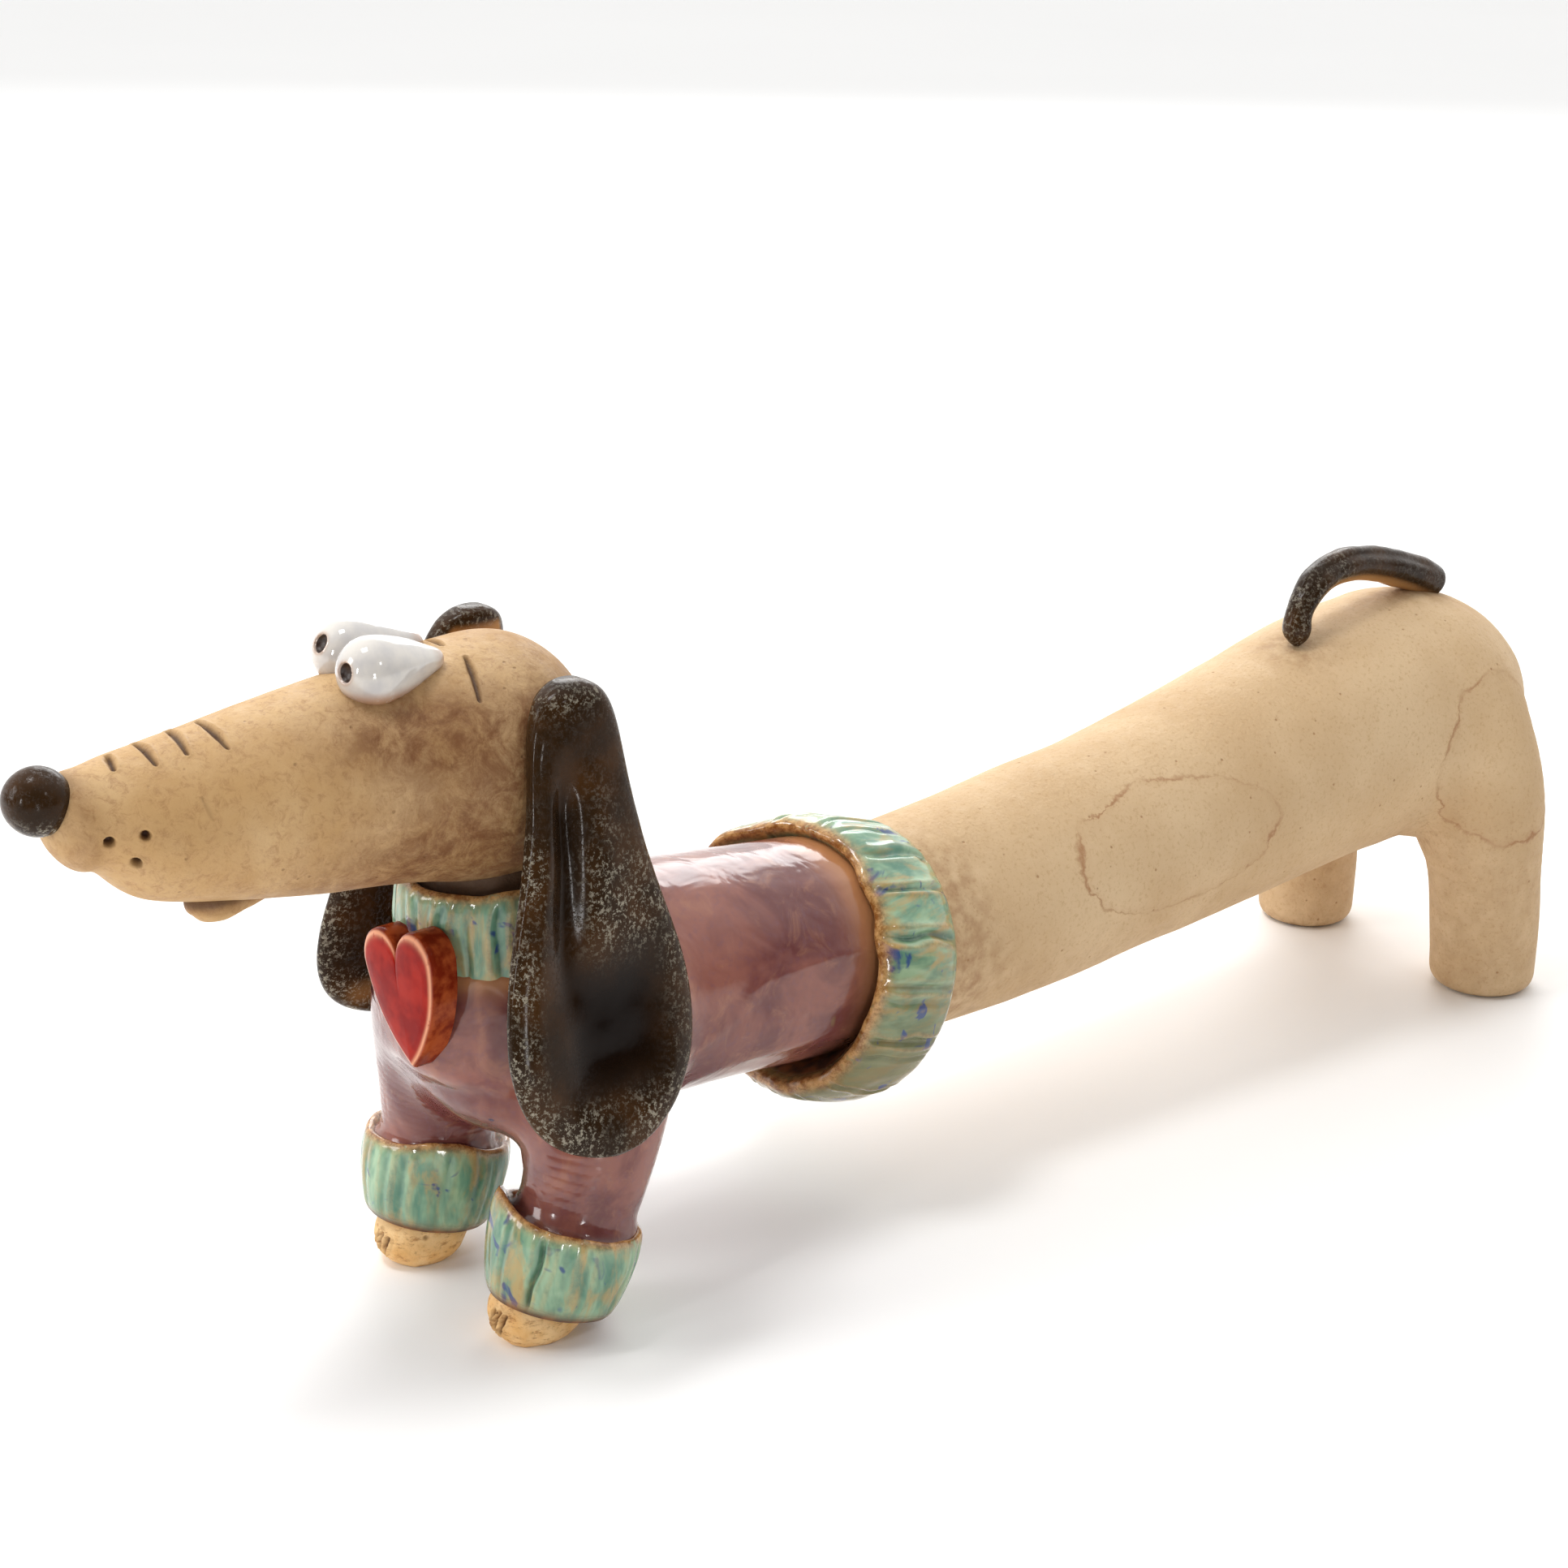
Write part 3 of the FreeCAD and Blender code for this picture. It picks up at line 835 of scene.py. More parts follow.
def rib_pattern(turn, seed, spacing, radius, depth, slit=None):
    """Grooves pressed across a band at uneven spacing: height and groove strength at each angle.

    A slit adds one deep narrow cut at that angle.
    """
    rng = np.random.default_rng(seed)
    height = np.zeros_like(turn)
    groove = np.zeros_like(turn)
    at = 0.0
    while at < 2.0 * math.pi:
        width = rng.uniform(0.40, 0.80) / radius
        deep = rng.uniform(0.3, 1.0)
        off = wrapped(turn - at)
        cut = bell(off, width)
        crest = bell(np.abs(off) - 2.1 * width, 1.1 * width)
        height = height + depth * deep * (0.38 * crest - cut)
        groove = np.maximum(groove, deep * cut)
        at += rng.uniform(*spacing) / radius
    if slit is not None:
        cut = bell((turn - slit) * radius, 0.42)
        height = height - 1.1 * cut
        groove = np.maximum(groove, 1.5 * cut)
    return height, groove


# The part of a band's width that carries ribs
RIB_START, RIB_END = 0.12, 0.90


def make_ring(node, ring, corners, seed, spacing, depth, material, lip, rows, columns, wave,
              slit=None, stain=1.0, pit=None):
    """A ribbed band. corners is its section; lip(turn) moves the first edge along the axis.

    spacing is the range of the gaps between ribs, depth their height and wave the unevenness of the
    band. slit is the angle of one deep cut and pit the (turn, along) of one small hole. stain scales
    the glaze's contrast over the ribs.
    """
    section = closed_section(corners, rows)
    low, high = section[:, 0].min(), section[:, 0].max()
    turn = circle(columns)
    along, turns = np.meshgrid(section[:, 0], turn, indexing="ij")
    radius = np.repeat(section[:, 1][:, None], columns, axis=1)
    part = (along - low) / (high - low)
    centre_line = 0.5 * (section[:, 1].max() + section[:, 1].min())
    outer = ramp(radius, centre_line - 0.3, centre_line + 0.8)
    mean_radius = section[:, 1].max()
    where = np.stack([np.cos(turns) * mean_radius, np.sin(turns) * mean_radius, along], axis=-1)
    bent = turns + 0.9 / mean_radius * noise(where, 5.0, seed + 4)
    height, groove = rib_pattern(bent, seed, spacing, mean_radius, depth, slit)
    band = ramp(part, RIB_START - 0.12, RIB_START + 0.08) * ramp(part, RIB_END + 0.10, RIB_END - 0.10)
    radius = radius + height * outer * band
    on_ring = np.stack([np.cos(turns), np.sin(turns), part * 0.4], axis=-1) * mean_radius
    radius = radius + wave * noise(on_ring, 6.0, seed + 1) * (0.35 + 0.65 * outer)
    radius = radius + 0.12 * noise(on_ring, 1.8, seed + 2) * outer
    shift = wave * 1.6 * noise(on_ring, 5.0, seed + 3) * (1.0 - part)
    shift = shift + lip(turns) * (1.0 - part) ** 1.2
    hole = np.zeros(radius.shape)
    if pit is not None:
        hole = outer * (1.0 - ramp(np.hypot((turns - pit[0]) * mean_radius, along - pit[1]), 0.45, 1.0))
        radius = radius - 1.3 * hole
    points = ring.points(along + shift, radius, turns)
    edge = bell(part, 0.07) + 0.5 * bell(1.0 - part, 0.03)
    crest = ramp(height / depth, 0.10, 0.34) * band * outer
    # inside marks the inner face, painted dark brown partly as shade.
    inside = (1.0 - outer) * ramp(part, 0.02, 0.16)
    bare = share(edge) * outer + 0.35 * stain * crest + 0.8 * (1 - outer) * (1 - inside)
    values = {"bare": share(bare), "deep": share(stain * groove * band * outer),
              "inside": share(inside + hole)}
    piece(node, points, material, values, torus=True)


# Each section is a list of (along the axis, radius), starting at the open lip
HEM_LIP = (0.0, -25.3, 40.8)
HEM_TILT = 0.27
HEM_PIT = (5.20, 14.6)
HEM_REACH = 7.4
HEM_TEAR = 1.3
HEM_SECTION = [(0.0, 21.6), (0.5, 22.7), (3.0, 24.0), (8.0, 24.5), (13.0, 24.3), (16.5, 23.4), (18.0, 21.8),
               (17.4, 18.6), (15.4, 15.6), (11.0, 15.2), (5.4, 17.6), (1.4, 20.4)]


def make_hem_cuff(material):
    ring = Ring(HEM_LIP, (0.0, math.cos(HEM_TILT), -math.sin(HEM_TILT)))

    def lip(turn):
        """The far side of the lip reaches further forward, with a torn look at the top."""
        far = ramp(-np.cos(turn), -0.2, 0.9) * ramp(-np.sin(turn), -0.9, 0.6)
        torn = 0.9 * np.sin(9.0 * turn + 1.0) * np.sin(5.0 * turn)
        return -HEM_REACH * far + HEM_TEAR * torn * far

    make_ring("hem_cuff", ring, HEM_SECTION, 31, (3.6, 9.5), 0.85, material, lip, 72, 640, 0.35, pit=HEM_PIT)


COLLAR_TOP = 71.4
COLLAR_HEIGHT = 13.2
COLLAR_RISE = 1.5
COLLAR_SECTION = [(13.2, 13.9), (13.0, 15.2), (11.0, 16.0), (6.5, 16.3), (2.0, 15.9), (0.2, 15.4),
                  (0.0, 13.8), (2.0, 12.3), (7.0, 12.2), (11.0, 12.9)]


def make_collar(material):
    flipped = [(COLLAR_HEIGHT - a, r) for a, r in COLLAR_SECTION]
    ring = Ring((0.0, NECK_Y, COLLAR_TOP), (0.0, 0.0, -1.0))

    def lip(turn):
        """The rim stands a little higher behind the left shoulder."""
        return -COLLAR_RISE * bell(wrapped(turn + 0.1), 0.9)

    make_ring("collar", ring, flipped, 41, (2.4, 5.6), 0.36, material, lip, 48, 420, 0.25)


CUFF_HEIGHT = 14.2
CUFF_RISE = 2.2
CUFF_HIGH = {"left": 2.05, "right": 0.4}
CUFF_SLIT = {"left": 0.97, "right": None}
CUFF_SECTION = [(14.2, 10.9), (13.6, 11.8), (10.5, 12.1), (6.0, 11.6), (1.6, 10.5), (0.0, 9.3),
                (0.6, 8.2), (4.0, 7.9), (8.5, 8.3), (12.0, 9.4)]


def make_sleeve_cuff(side, material):
    base, axis = cuff_axis(side)
    top = base + axis * CUFF_HEIGHT
    flipped = [(CUFF_HEIGHT - a, r) for a, r in CUFF_SECTION]
    seed = 51 if side == "left" else 61

    def lip(turn):
        """One stretch of the rim stands higher and rolls out."""
        return -CUFF_RISE * bell(wrapped(turn - CUFF_HIGH[side]), 0.55)

    make_ring(side + "_sleeve_cuff", Ring(top, -axis), flipped, seed, (2.8, 7.0), 0.20, material, lip,
              48, 420, 0.3, CUFF_SLIT[side], 0.6)


# --------------------------------------------------------------- head and face

# Marks pressed into the face, each a path of points near the surface
WRINKLES = [((-1.2, -147.8, 102.2), (2.9, -149.0, 101.6)), ((-2.8, -142.8, 102.6), (4.7, -143.6, 101.8)),
            ((-3.8, -137.1, 103.1), (5.0, -138.9, 102.4)), ((-2.2, -133.2, 103.9), (6.4, -133.4, 102.4))]
BROWS = [((5.2, -92.9, 107.8), (9.4, -94.3, 105.9), (12.4, -95.4, 103.4)),
         ((0.2, -93.6, 108.6), (-5.4, -92.6, 107.8))]
SCRATCH = [((10.2, -139.8, 97.4), (11.5, -139.1, 94.6))]
WHISKERS = [(7.4, -152.6, 93.2), (9.3, -148.2, 93.8), (8.3, -149.3, 89.8)]
WHISKER_R = 0.85
WHISKER_DEPTH = 1.5
# (paths, width, depth, how much stain has settled in them)
MARKS = ((WRINKLES, 0.55, 0.8, 1.0), (BROWS, 0.5, 0.75, 1.0), (SCRATCH, 0.4, 0.2, 0.2))


def make_head(material):
    points = head_points()
    normals = outward(points, points.mean(axis=(0, 1)))
    points = clay(points, normals, 71, ((13.0, 0.22), (4.5, 0.06)))
    cut = np.zeros(points.shape[:2])
    for paths, size, depth, stain in MARKS:
        for path in paths:
            distance, part = stroke(points, normals, path)
            width = size * (1.0 - 0.4 * np.abs(2.0 * part - 1.0) ** 2)
            width = width * (1.0 + 0.22 * noise(points, 1.1, 73))
            points = press(points, normals, distance, width, depth)
            cut = np.maximum(cut, stain * bell(distance, 0.85 * width))
    for x, y, z in WHISKERS:
        for sign in (1.0, -1.0):
            points, hole = prick(points, normals, (sign * x, y, z), WHISKER_R, WHISKER_DEPTH)
            cut = np.maximum(cut, hole)
    x, y, z = np.moveaxis(points, -1, 0)
    side = np.abs(x)
    # Brown on the head, partly a real wash and partly painted shade: eyes is painted shadow below the eyes,
    # under is painted shade where the head meets the collar, and jaw darkens towards the bottom.
    ear = ramp(y, -128.0, -90.0) * ramp(side, 4.0, 14.0) * ramp(z, 109.0, 97.0)
    eyes = np.exp(-((y + 108.0) / 13.0) ** 2 - ((z - 101.5) / 5.0) ** 2) * ramp(side, 3.0, 8.0)
    jaw = ramp(z, 94.0, 78.0) * ramp(y, -150.0, -104.0)
    nose = bell(y + 155.4, 2.2)
    crown = 0.4 * ramp(y, -96.0, -76.0)
    under = bell(y + 84.0, 15.0) * ramp(z, 78.0, 73.0)
    brown_wash_and_shade = share(0.95 * ear + 0.9 * eyes + 0.85 * jaw + 0.5 * nose + crown + under)
    piece("head", points, material, {"brown_wash_and_shade": brown_wash_and_shade, "cut": cut})


def domed(y, z, radius, length, rise=0.0):
    """Stations of a rounded end that closes over length."""
    return [(y + length * math.sin(a), z + rise * math.sin(a) ** 2, radius * math.cos(a))
            for a in np.radians([15.0, 30.0, 45.0, 60.0, 72.0, 82.0, 88.0])]


def head_points(rows=430, columns=380):
    """Rings of the head, evenly spaced along its outline from the snout to the back."""
    snout = domed(*HEAD_TUBE[0], -HEAD_ENDS[0], 1.0)
    back = domed(*HEAD_TUBE[-1], HEAD_ENDS[1])
    table = np.array(snout[::-1] + HEAD_TUBE + back)
    way = travelled(table[:, [0, 2]])
    s = np.linspace(0.0, way[-1], rows)
    y, z, r = (spline(way, table[:, k])(s)[:, None] for k in range(3))
    turn = circle(columns)[None]
    r = np.maximum(r, 0.05)
    return np.stack([r * np.cos(turn), y + 0.0 * turn, z + r * np.sin(turn)], axis=-1)


def ball(rows, columns, order=(0, 1, 2)):
    """Unit directions over a sphere; order (0, 1, 2) puts the poles on Z and (1, 2, 0) on Y."""
    polar = np.linspace(0.01, math.pi - 0.01, rows)[:, None]
    turn = circle(columns)[None, :]
    flat = [np.sin(polar) * np.cos(turn), np.sin(polar) * np.sin(turn), np.cos(polar) * np.ones_like(turn)]
    return np.stack([flat[k] for k in order], axis=-1)


NOSE_AT = (0.0, -159.1, 98.4)
NOSE_R = 4.9
LIP_X = 2.0
LIP = [(-138.8, 79.6, 0.5), (-138.5, 79.5, 1.2), (-137.6, 79.3, 2.0), (-136.0, 78.9, 2.8),
       (-134.2, 78.6, 3.0), (-130.5, 78.7, 2.6), (-127.0, 78.6, 1.9), (-124.6, 78.3, 1.0)]


def make_nose(material):
    d = ball(90, 120, (1, 2, 0))
    points = np.array(NOSE_AT) + d * NOSE_R
    points = points + d * (0.12 * noise(points, 4.0, 81))[..., None]
    silver = ramp(-d[..., 2], 0.1, 0.8)
    zero = np.zeros(points.shape[:2])
    piece("nose", points, material, {"silver": silver, "pool": zero, "lining": zero})


def make_lower_lip(material):
    """A pinch of clay under the snout that slopes away towards the throat."""
    points, normals, _ = sweep([(LIP_X, y, z, r) for y, z, r in LIP], 90, 80)
    points = clay(points, normals, 83, ((3.5, 0.25), (1.5, 0.08)))
    # Painted shade: the top of the lip, tucked under the snout, and its throat end are darker.
    brown_wash_and_shade = 0.6 * ramp(points[..., 2], 76.8, 78.6) + 0.3 * ramp(points[..., 1], -132.0, -126.0)
    # The top edge gets the dark cut colour as painted shade of the gap under the snout.
    cut = 0.7 * ramp(points[..., 2], 78.0, 79.2)
    piece("lower_lip", points, material, {"brown_wash_and_shade": brown_wash_and_shade, "cut": cut})


EYE_R = 5.2
EYES = {"left": (5.2, -109.0, 108.6), "right": (-5.2, -106.6, 108.4)}
EYE_SECTIONS = [(-5.25, 0.0), (-5.04, 1.35), (-4.52, 2.6), (-3.38, 3.95), (-1.56, 5.0), (0.5, 5.2),
                (3.54, 4.7), (7.1, 3.45), (10.1, 2.1), (12.0, 1.1), (12.7, 0.0)]
PUPIL_LOOK = {"left": (0.12, -0.97, 0.16), "right": (-0.03, -0.89, 0.45)}
PUPIL_R = 1.5
PUPIL_DEPTH = 1.5
# The drop leans in and down by this much for each millimetre towards its point
EYE_LEAN_IN = 0.05
EYE_LEAN_DOWN = 0.03


def make_eye(side, material):
    """A drop laid on the brow, its point towards the back of the head, with the pupil pricked in."""
    table = np.array(EYE_SECTIONS)
    way = travelled(table)
    s = np.linspace(0.0, way[-1], 150)[1:-1]
    along, radius = spline(way, table[:, 0])(s), np.maximum(spline(way, table[:, 1])(s), 0.02)
    turn = circle(140)
    centre = np.array(EYES[side])
    inward = -math.copysign(1.0, centre[0])
    back = np.maximum(along, 0.0)[:, None]
    points = np.stack([np.outer(radius, np.cos(turn)) + EYE_LEAN_IN * inward * back,
                       np.repeat(along[:, None], len(turn), axis=1),
                       np.outer(radius, np.sin(turn)) - EYE_LEAN_DOWN * back], axis=-1) + centre
    normals = outward(points, centre)
    points = clay(points, normals, 91, ((5.0, 0.14),))
    look = unit(np.array(PUPIL_LOOK[side]))
    at = centre + look * EYE_R * 0.98
    depth = np.linalg.norm((points - at) - ((points - at) @ look)[..., None] * look, axis=-1)
    facing = ramp((points - centre) @ look, 2.0, 3.5)
    hole = (1.0 - ramp(depth / PUPIL_R, 0.72, 1.04)) * facing
    points = points - look * (PUPIL_DEPTH * hole)[..., None]
    rim = bell(depth / PUPIL_R - 1.05, 0.22) * facing
    # The lower part of the drop is browner, more so towards the bottom.
    low = ramp(points[..., 2], centre[2] - 1.2, centre[2] - 3.9)
    tip = ramp(along, 9.0, 12.0)[:, None]
    bare = share(0.9 * low + 0.6 * tip + 0.5 * rim + 0.4 * hole)
    piece(side + "_eye", points, material, {"bare": bare})


def make_pupil(side, material):
    """The dark floor of the pricked hole."""
    look = unit(np.array(PUPIL_LOOK[side]))
    ring = Ring(np.array(EYES[side]) + look * (EYE_R - 1.05), look)
    radii = np.array([0.02, 0.4, 0.8, 1.15, 1.38, 1.46, 1.38, 1.0, 0.02])
    along = np.array([-0.30, -0.26, -0.14, 0.10, 0.42, 0.10, -0.60, -0.90, -1.0])
    way = np.arange(len(radii), dtype=float)
    fine = np.linspace(0.0, len(radii) - 1.0, 40)
    turn = circle(48)
    r, turns = np.meshgrid(spline(way, radii)(fine), turn, indexing="ij")
    a = np.repeat(spline(way, along)(fine)[:, None], len(turn), axis=1)
    piece(side + "_pupil", ring.points(a, r, turns), material)


# --------------------------------------------------------------- ears and tail

# The ear's outline from the top down: (height, half width)
EAR_OUTLINE = [(105.6, 2.0), (104.0, 5.0), (101.5, 6.7), (96.0, 8.1), (86.0, 9.6), (76.0, 12.0),
               (65.0, 15.2), (55.0, 16.6), (47.0, 15.2), (41.5, 11.6), (38.4, 6.6), (37.2, 2.2)]
EAR_TOP_X = 17.6
EAR_SPLAY = 0.235
# Where the top and the lobe are along Y, and the length against the outline's
EARS = {"left": (-83.6, -87.6, 1.0), "right": (-76.4, -83.6, 1.045)}
EAR_HALF_THICK = 2.7
EAR_LIFT = 44.0
# How far the ear's outer face rises at the ridge and the rolled edge, and sinks in the dish and the groove
EAR_RIDGE, EAR_ROLL, EAR_DISH, EAR_TROUGH = 0.5, 0.6, 2.0, 1.7


def make_ear(side, material):
    """A flattened slab: a thick rounded top, a groove down the front and a dish in the lobe."""
    sign = 1.0 if side == "left" else -1.0
    top_y, bottom_y, size = EARS[side]
    table = np.array(EAR_OUTLINE)
    way = travelled(table)
    height, half = spline(way, table[:, 0]), spline(way, table[:, 1])
    s = np.linspace(0.0, way[-1], 240)
    turn = circle(200)
    z_line, width = height(s), np.maximum(half(s), 0.3)
    drop = table[0, 0] - table[-1, 0]
    down = (table[0, 0] - z_line) / drop
    thick = EAR_HALF_THICK * np.minimum(1.0, 0.45 + width / 10.0) * (1.0 + 0.22 * ramp(down, 0.22, 0.0))
    thick = np.minimum(thick, 0.8 * width)
    cos, sin = np.cos(turn), np.sin(turn)
    u = np.sign(sin) * np.abs(sin) ** 0.86
    w = np.sign(cos) * np.abs(cos) ** 0.80
    across = np.outer(width, u)
    out = np.outer(thick, w)
    v = np.repeat(down[:, None], len(turn), axis=1)
    part = np.outer(np.ones(len(s)), u)
    face = ramp(w, 0.1, 0.75)[None, :]
    dish = np.exp(-(((part - 0.10) / 0.56) ** 4 + ((v - 0.735) / 0.145) ** 4))
    trough = bell(part + 0.45 - 0.10 * v, 0.20) * ramp(v, 0.12, 0.28) * ramp(v, 0.72, 0.52)
    ridge = bell(part - 0.15, 0.30) * ramp(v, 0.14, 0.3) * ramp(v, 0.62, 0.45)
    roll = bell(part + 0.82, 0.16) * ramp(v, 0.15, 0.3) * ramp(v, 0.95, 0.8)
    out = out + face * (EAR_RIDGE * ridge + EAR_ROLL * roll - EAR_DISH * dish - EAR_TROUGH * trough)
    x = EAR_TOP_X + EAR_SPLAY * drop * v + out
    y = top_y + (bottom_y - top_y) * v + across
    z = table[0, 0] + EAR_LIFT * (size - 1.0) - size * (table[0, 0] - z_line[:, None]) + 0.0 * x
    points = np.stack([sign * x, y, z], axis=-1)
    middle = np.stack([sign * (EAR_TOP_X + EAR_SPLAY * drop * v), top_y + (bottom_y - top_y) * v, z], axis=-1)
    normals = outward(points, middle)
    points = clay(points, normals, 101 if side == "left" else 111, ((9.0, 0.18), (3.0, 0.03)))
    back = ramp(-w, 0.2, 0.8)[None, :]
    patch = ramp(noise(points, 6.0, 117), -0.5, 0.5)
    inner = ramp(np.abs(part), 0.86, 0.66) * ramp(v, 0.025, 0.05)
    lining = back * share(inner * ramp(v, 0.30, 0.12) + 0.8 * patch * ramp(v, 0.80, 0.97))
    edge = bell(part + 0.98, 0.20) * ramp(v, 0.2, 0.4)
    band = bell(v - 0.47, 0.12) * ramp(part, -0.5, 0.1)
    foot = ramp(v, 0.84, 0.92) + bell(part - 0.95, 0.2) * ramp(v, 0.5, 0.7)
    top = (bell(v - 0.03, 0.03) * 0.7) * np.ones_like(part)
    silver = share(0.9 * edge + 0.75 * band + foot + 0.25 * ridge + top)
    # pool is pooled glaze and painted dark reflection in the dish and the groove.
    pool = share((dish + 0.6 * trough) * face)
    piece(side + "_ear", points, material,
          {"silver": silver * (1.0 - pool), "pool": pool, "lining": lining})


TAIL = [(0.0, 144.6, 77.6, 0.6), (0.0, 144.0, 78.2, 2.4), (0.0, 142.4, 79.0, 3.5), (0.0, 134.0, 82.3, 3.7),
        (0.0, 123.5, 85.4, 3.5), (0.6, 112.0, 86.5, 3.3), (1.6, 103.5, 83.8, 3.0), (2.8, 99.2, 78.6, 2.8),
        (3.2, 98.6, 75.4, 2.3), (3.2, 98.6, 74.0, 0.8)]


def sweep(stations, rows, columns):
    """A round coil of clay along a smooth path."""
    table = np.array(stations, float)
    way = travelled(table[:, :3])
    fine = np.linspace(0.0, way[-1], rows)
    path = np.stack([spline(way, table[:, k])(fine) for k in range(3)], axis=-1)
    radius = np.maximum(spline(way, table[:, 3])(fine), 0.3)
    tangent = unit(np.gradient(path, axis=0))
    side = unit(np.cross(tangent, np.array([1.0, 0.0, 0.0])))
    other = np.cross(tangent, side)
    turn = circle(columns)
    around = np.cos(turn)[None, :, None] * side[:, None] + np.sin(turn)[None, :, None] * other[:, None]
    return path[:, None] + radius[:, None, None] * around, around, fine / way[-1]


def make_tail(material):
    points, normals, part = sweep(TAIL, 220, 96)
    crease = bell(normals[..., 0] - 0.75, 0.16) * ramp(part, 0.06, 0.2)[:, None]
    upper = bell(normals[..., 2] - 0.80, 0.10) * ramp(normals[..., 0], 0.0, 0.2)
    upper = upper * ramp(part, 0.1, 0.3)[:, None]
    points = points - normals * (0.45 * crease + 0.30 * upper)[..., None]
    points = clay(points, normals, 121, ((5.0, 0.18), (2.0, 0.05)))
    silver = (0.10 + 0.35 * ramp(part, 0.50, 0.70))[:, None] * np.ones(points.shape[1])
    under = ramp(-normals[..., 2], 0.45, 0.9) * ramp(part, 0.85, 0.7)[:, None]
    values = {"silver": silver, "pool": 0.0 * silver, "lining": 0.8 * under}
    piece("tail", points, material, values)


# --------------------------------------------------------------- heart and paws

HEART_AT = (3.0, -99.2, 55.4)
HEART_THICK = 5.0
HEART_WIDTH = 19.0
HEART_HEIGHT = 21.5
HEART_ROLL = math.radians(13.0)


def heart_outline(count):
    """Points round the heart: a round lobe on each side and a gently curved flank down to the tip."""
    lobe = HEART_WIDTH / 4.0
    top = HEART_HEIGHT / 2.0 - lobe
    flank_start, tip = np.array([2.0 * lobe, top]), np.array([0.0, -HEART_HEIGHT / 2.0])
    bow = np.array([1.85 * lobe, -0.18 * HEART_HEIGHT])
    arc = np.linspace(math.pi, 0.0, count)
    lobe_line = np.stack([lobe + lobe * np.cos(arc), top + lobe * np.sin(arc)], axis=-1)
    t = np.linspace(0.0, 1.0, count)[1:, None]
    flank = (1 - t) ** 2 * flank_start + 2 * t * (1 - t) * bow + t ** 2 * tip
    right = np.vstack([lobe_line, flank])
    left = right[::-1][1:-1] * np.array([-1.0, 1.0])
    return np.vstack([right, left])


def make_heart(material):
    """A thick tile with a softly rounded front edge."""
    outline = heart_outline(44)
    profile = [(0.0, 0.02), (0.0, 0.5), (0.0, 0.93), (0.35, 1.0), (0.8, 1.0), (HEART_THICK - 0.9, 1.0),
               (HEART_THICK - 0.35, 0.985), (HEART_THICK - 0.05, 0.95), (HEART_THICK + 0.12, 0.90),
               (HEART_THICK + 0.30, 0.75), (HEART_THICK + 0.42, 0.5), (HEART_THICK + 0.48, 0.25),
               (HEART_THICK + 0.5, 0.02)]
    way = np.arange(len(profile), dtype=float)
    fine = np.linspace(0.0, len(profile) - 1.0, 90)
    out = np.interp(fine, way, [p[0] for p in profile])
    scale = np.interp(fine, way, [p[1] for p in profile])
    centre = np.array([0.0, -0.5])
    flat = centre + (outline - centre)[None] * scale[:, None, None]
    x, z = flat[..., 0], flat[..., 1]
    turned_x = x * math.cos(HEART_ROLL) - z * math.sin(HEART_ROLL)
    turned_z = x * math.sin(HEART_ROLL) + z * math.cos(HEART_ROLL)
    y = np.repeat(-out[:, None], len(outline), axis=1)
    points = np.stack([turned_x, y, turned_z], axis=-1) + np.array(HEART_AT)
    front = ramp(out, HEART_THICK - 0.5, HEART_THICK)[:, None]
    rim = bell(scale - 0.95, 0.045)[:, None] * front
    lobes = ramp(z, 6.0, 10.5) * ramp(scale, 0.80, 0.94)[:, None] * front * 0.25
    wall = (1.0 - front) * np.ones(x.shape)
    points = points + np.array([0.0, -1.0, 0.0]) * (0.10 * noise(points, 5.0, 131))[..., None]
    piece("heart", points, material, {"bare": share(rim + lobes), "wall": wall})


PAW_AT = (16.2, -89.6, 4.2)
PAW_RADII = (7.0, 8.0, 5.6)
PITS = 26
# Toe marks: (sideways, height) from the middle of the paw
TOES = ((1.5, 1.2), (0.3, 1.5), (-0.9, 1.4))


def make_paw(side, material):
    sign = 1.0 if side == "left" else -1.0
    centre = np.array(PAW_AT) * np.array([sign, 1.0, 1.0])
    d = ball(110, 150)
    lump = np.sign(d) * np.abs(d) ** 0.9
    points = centre + unit(lump) * np.linalg.norm(lump, axis=-1, keepdims=True) ** 0.35 * np.array(PAW_RADII)
    points = clay(points, d, 141 if side == "left" else 147, ((6.0, 0.55), (2.4, 0.22), (1.0, 0.06)))
    normals = outward(points, centre)
    cut = np.zeros(points.shape[:2])
    for dx, height in TOES:
        back = -PAW_RADII[1] * math.sqrt(1.0 - (dx / PAW_RADII[0]) ** 2)
        low = centre + np.array([dx - 0.5, back, height - 3.2])
        high = centre + np.array([dx + 0.5, back + 0.6, height])
        distance, _ = stroke(points, normals, (low, high))
        width = 0.30 * (1.0 + 0.35 * noise(points, 0.9, 149))
        points = press(points, normals, distance, width, 0.7, 0.5)
        cut = np.maximum(cut, bell(distance, width))
    rng = np.random.default_rng(151)
    for _ in range(PITS):
        spot = unit(rng.normal(size=3) * np.array([1.0, 1.0, 0.6]))
        where = centre + spot * np.array(PAW_RADII)
        points, hole = prick(points, d, where, rng.uniform(0.25, 0.5), 0.3)
        cut = np.maximum(cut, 0.6 * hole)
    points[..., 2] = np.maximum(points[..., 2], 0.0)
    piece(side + "_front_paw", points, material, {"cut": cut})


# ---------------------------------------------------------------------- stage

# The camera: azimuth from the front, elevation and roll in degrees, lens in mm, place in m
VIEW_ANGLES = (49.43, 19.51, 0.953)
VIEW_LENS = 67.08
VIEW_FROM = (0.3462, -0.32312, 0.23367)


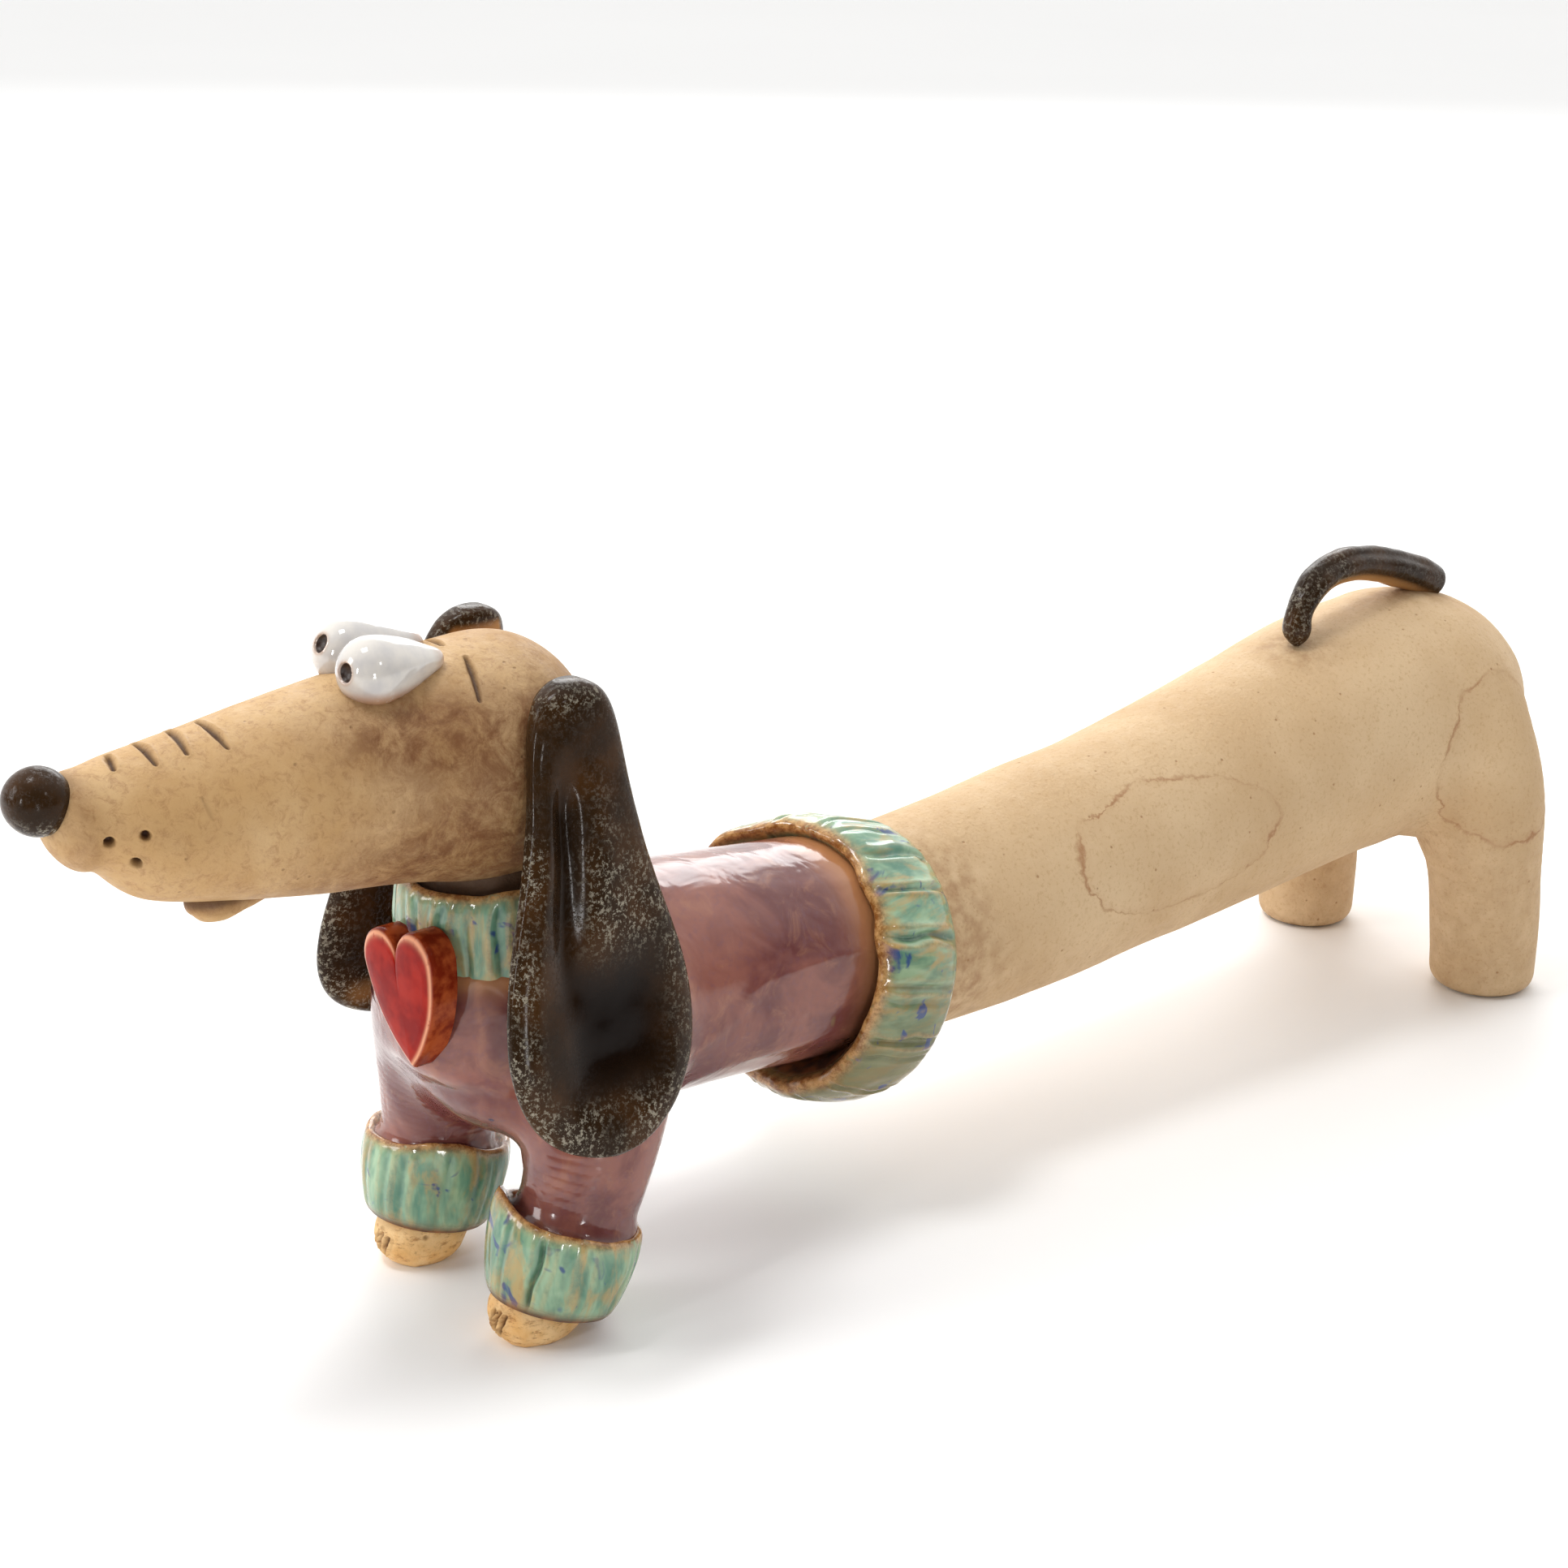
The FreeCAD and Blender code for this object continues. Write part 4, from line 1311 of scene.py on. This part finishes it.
def placed(name, data, right, up, back, at):
    """An object with its axes along right, up and back."""
    obj = bpy.data.objects.new(name, data)
    matrix = Matrix(np.column_stack([right, up, back]).tolist()).to_4x4()
    matrix.translation = at
    obj.matrix_world = matrix
    bpy.context.scene.collection.objects.link(obj)
    return obj


def make_camera():
    """The view from the dog's front left, a little above it."""
    azimuth, elevation, roll = np.radians(VIEW_ANGLES)
    back = np.array([math.sin(azimuth) * math.cos(elevation), -math.cos(azimuth) * math.cos(elevation),
                     math.sin(elevation)])
    right = np.array([math.cos(azimuth), math.sin(azimuth), 0.0])
    up = np.cross(back, right)
    right, up = (math.cos(roll) * right + math.sin(roll) * up, -math.sin(roll) * right + math.cos(roll) * up)
    data = bpy.data.cameras.new("view")
    data.sensor_width = 36.0
    data.lens = VIEW_LENS
    data.clip_start = 0.01
    bpy.context.scene.camera = placed("view", data, right, up, back, VIEW_FROM)


# Soft lights: (name, place, aimed at, size, watts), in metres
LIGHTS = [("back", (-1.00, 0.85, 0.75), (0.0, 0.0, 0.05), (1.0, 0.6), 8.0),
          ("overhead", (-0.15, -0.30, 1.00), (0.0, 0.0, 0.05), (0.24, 0.24), 3.1),
          ("left", (-0.45, -0.85, 0.45), (0.0, -0.08, 0.06), (0.30, 0.45), 2.9),
          ("right", (0.75, 0.00, 0.70), (0.0, 0.0, 0.05), (0.09, 0.14), 0.45),
          ("window", (0.16, -0.95, 0.34), (0.0, -0.08, 0.08), (0.06, 0.22), 1.3),
          ("strip", (0.90, -0.50, 0.16), (0.0, -0.08, 0.08), (0.08, 0.24), 1.3)]
FLOOR_REACH = 6000
# The surround is brightest in this direction, and its strength goes from To Min to To Max
GLOW_FROM = (-0.62, 0.53, 0.58)
GLOW = {"From Min": -0.25, "From Max": 0.75, "To Min": 0.06, "To Max": 1.42}


def area_light(name, at, aim, size, power):
    data = bpy.data.lights.new(name, "AREA")
    data.shape = "RECTANGLE"
    data.size, data.size_y = size
    data.energy = power
    back = unit(np.array(at) - np.array(aim))
    right = unit(np.cross([0.0, 0.0, 1.0], back))
    placed(name, data, right, np.cross(back, right), back, at)


def make_stage():
    """A pale floor, and a surround that is bright behind and above the dog and dark in front."""
    world = bpy.data.worlds.new("studio")
    bpy.context.scene.world = world
    world.use_nodes = True
    nodes, links = world.node_tree.nodes, world.node_tree.links
    direction = nodes.new("ShaderNodeTexCoord").outputs["Generated"]
    lean = nodes.new("ShaderNodeVectorMath")
    lean.operation = "DOT_PRODUCT"
    links.new(direction, lean.inputs[0])
    lean.inputs[1].default_value = GLOW_FROM
    fade = nodes.new("ShaderNodeMapRange")
    fade.interpolation_type = "SMOOTHSTEP"
    links.new(lean.outputs["Value"], fade.inputs["Value"])
    for key, value in GLOW.items():
        fade.inputs[key].default_value = value
    nodes["Background"].inputs["Color"].default_value = (1.0, 0.995, 0.985, 1.0)
    links.new(fade.outputs["Result"], nodes["Background"].inputs["Strength"])
    for light in LIGHTS:
        area_light(*light)
    corners = [(-1, -1, 0), (1, -1, 0), (1, 1, 0), (-1, 1, 0)]
    floor = mesh_object("floor", np.array(corners) * FLOOR_REACH, [(0, 1, 2, 3)])
    f = Finish("pale_floor", 0.6, 0.2)
    f.color = f.blend(f.noise(400.0, 2.0), (247, 247, 247), (251, 251, 251))
    floor.data.materials.append(f.done())
    bpy.context.scene.view_settings.view_transform = "Standard"


make_camera()
make_stage()
body = body_clay()
face = head_clay()
mauve = sweater_glaze()
celadon = celadon_glaze("celadon_glaze", (1.0, 1.0, 0.35))
hem_celadon = celadon_glaze("celadon_hem", (1.0, 0.4, 1.0), 0.85)
dark = dark_glaze()
white = white_glaze()
oxide = pupil_oxide()
paw = paw_clay()
make_rear_body(body)
make_tail(dark)
make_sweater_body(mauve)
make_hem_cuff(hem_celadon)
make_collar(celadon)
make_heart(red_glaze())
make_head(face)
make_lower_lip(face)
make_nose(dark)
for side in SIDES:
    make_rear_leg(side, body)
    make_sleeve(side, mauve)
    make_sleeve_cuff(side, celadon)
    make_paw(side, paw)
    make_ear(side, dark)
    make_eye(side, white)
    make_pupil(side, oxide)
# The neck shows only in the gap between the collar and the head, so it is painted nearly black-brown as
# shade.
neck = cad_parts["neck"]
neck.data.materials.clear()
neck.data.materials.append(head_clay("bisque_neck_painted_shade", 0.94))
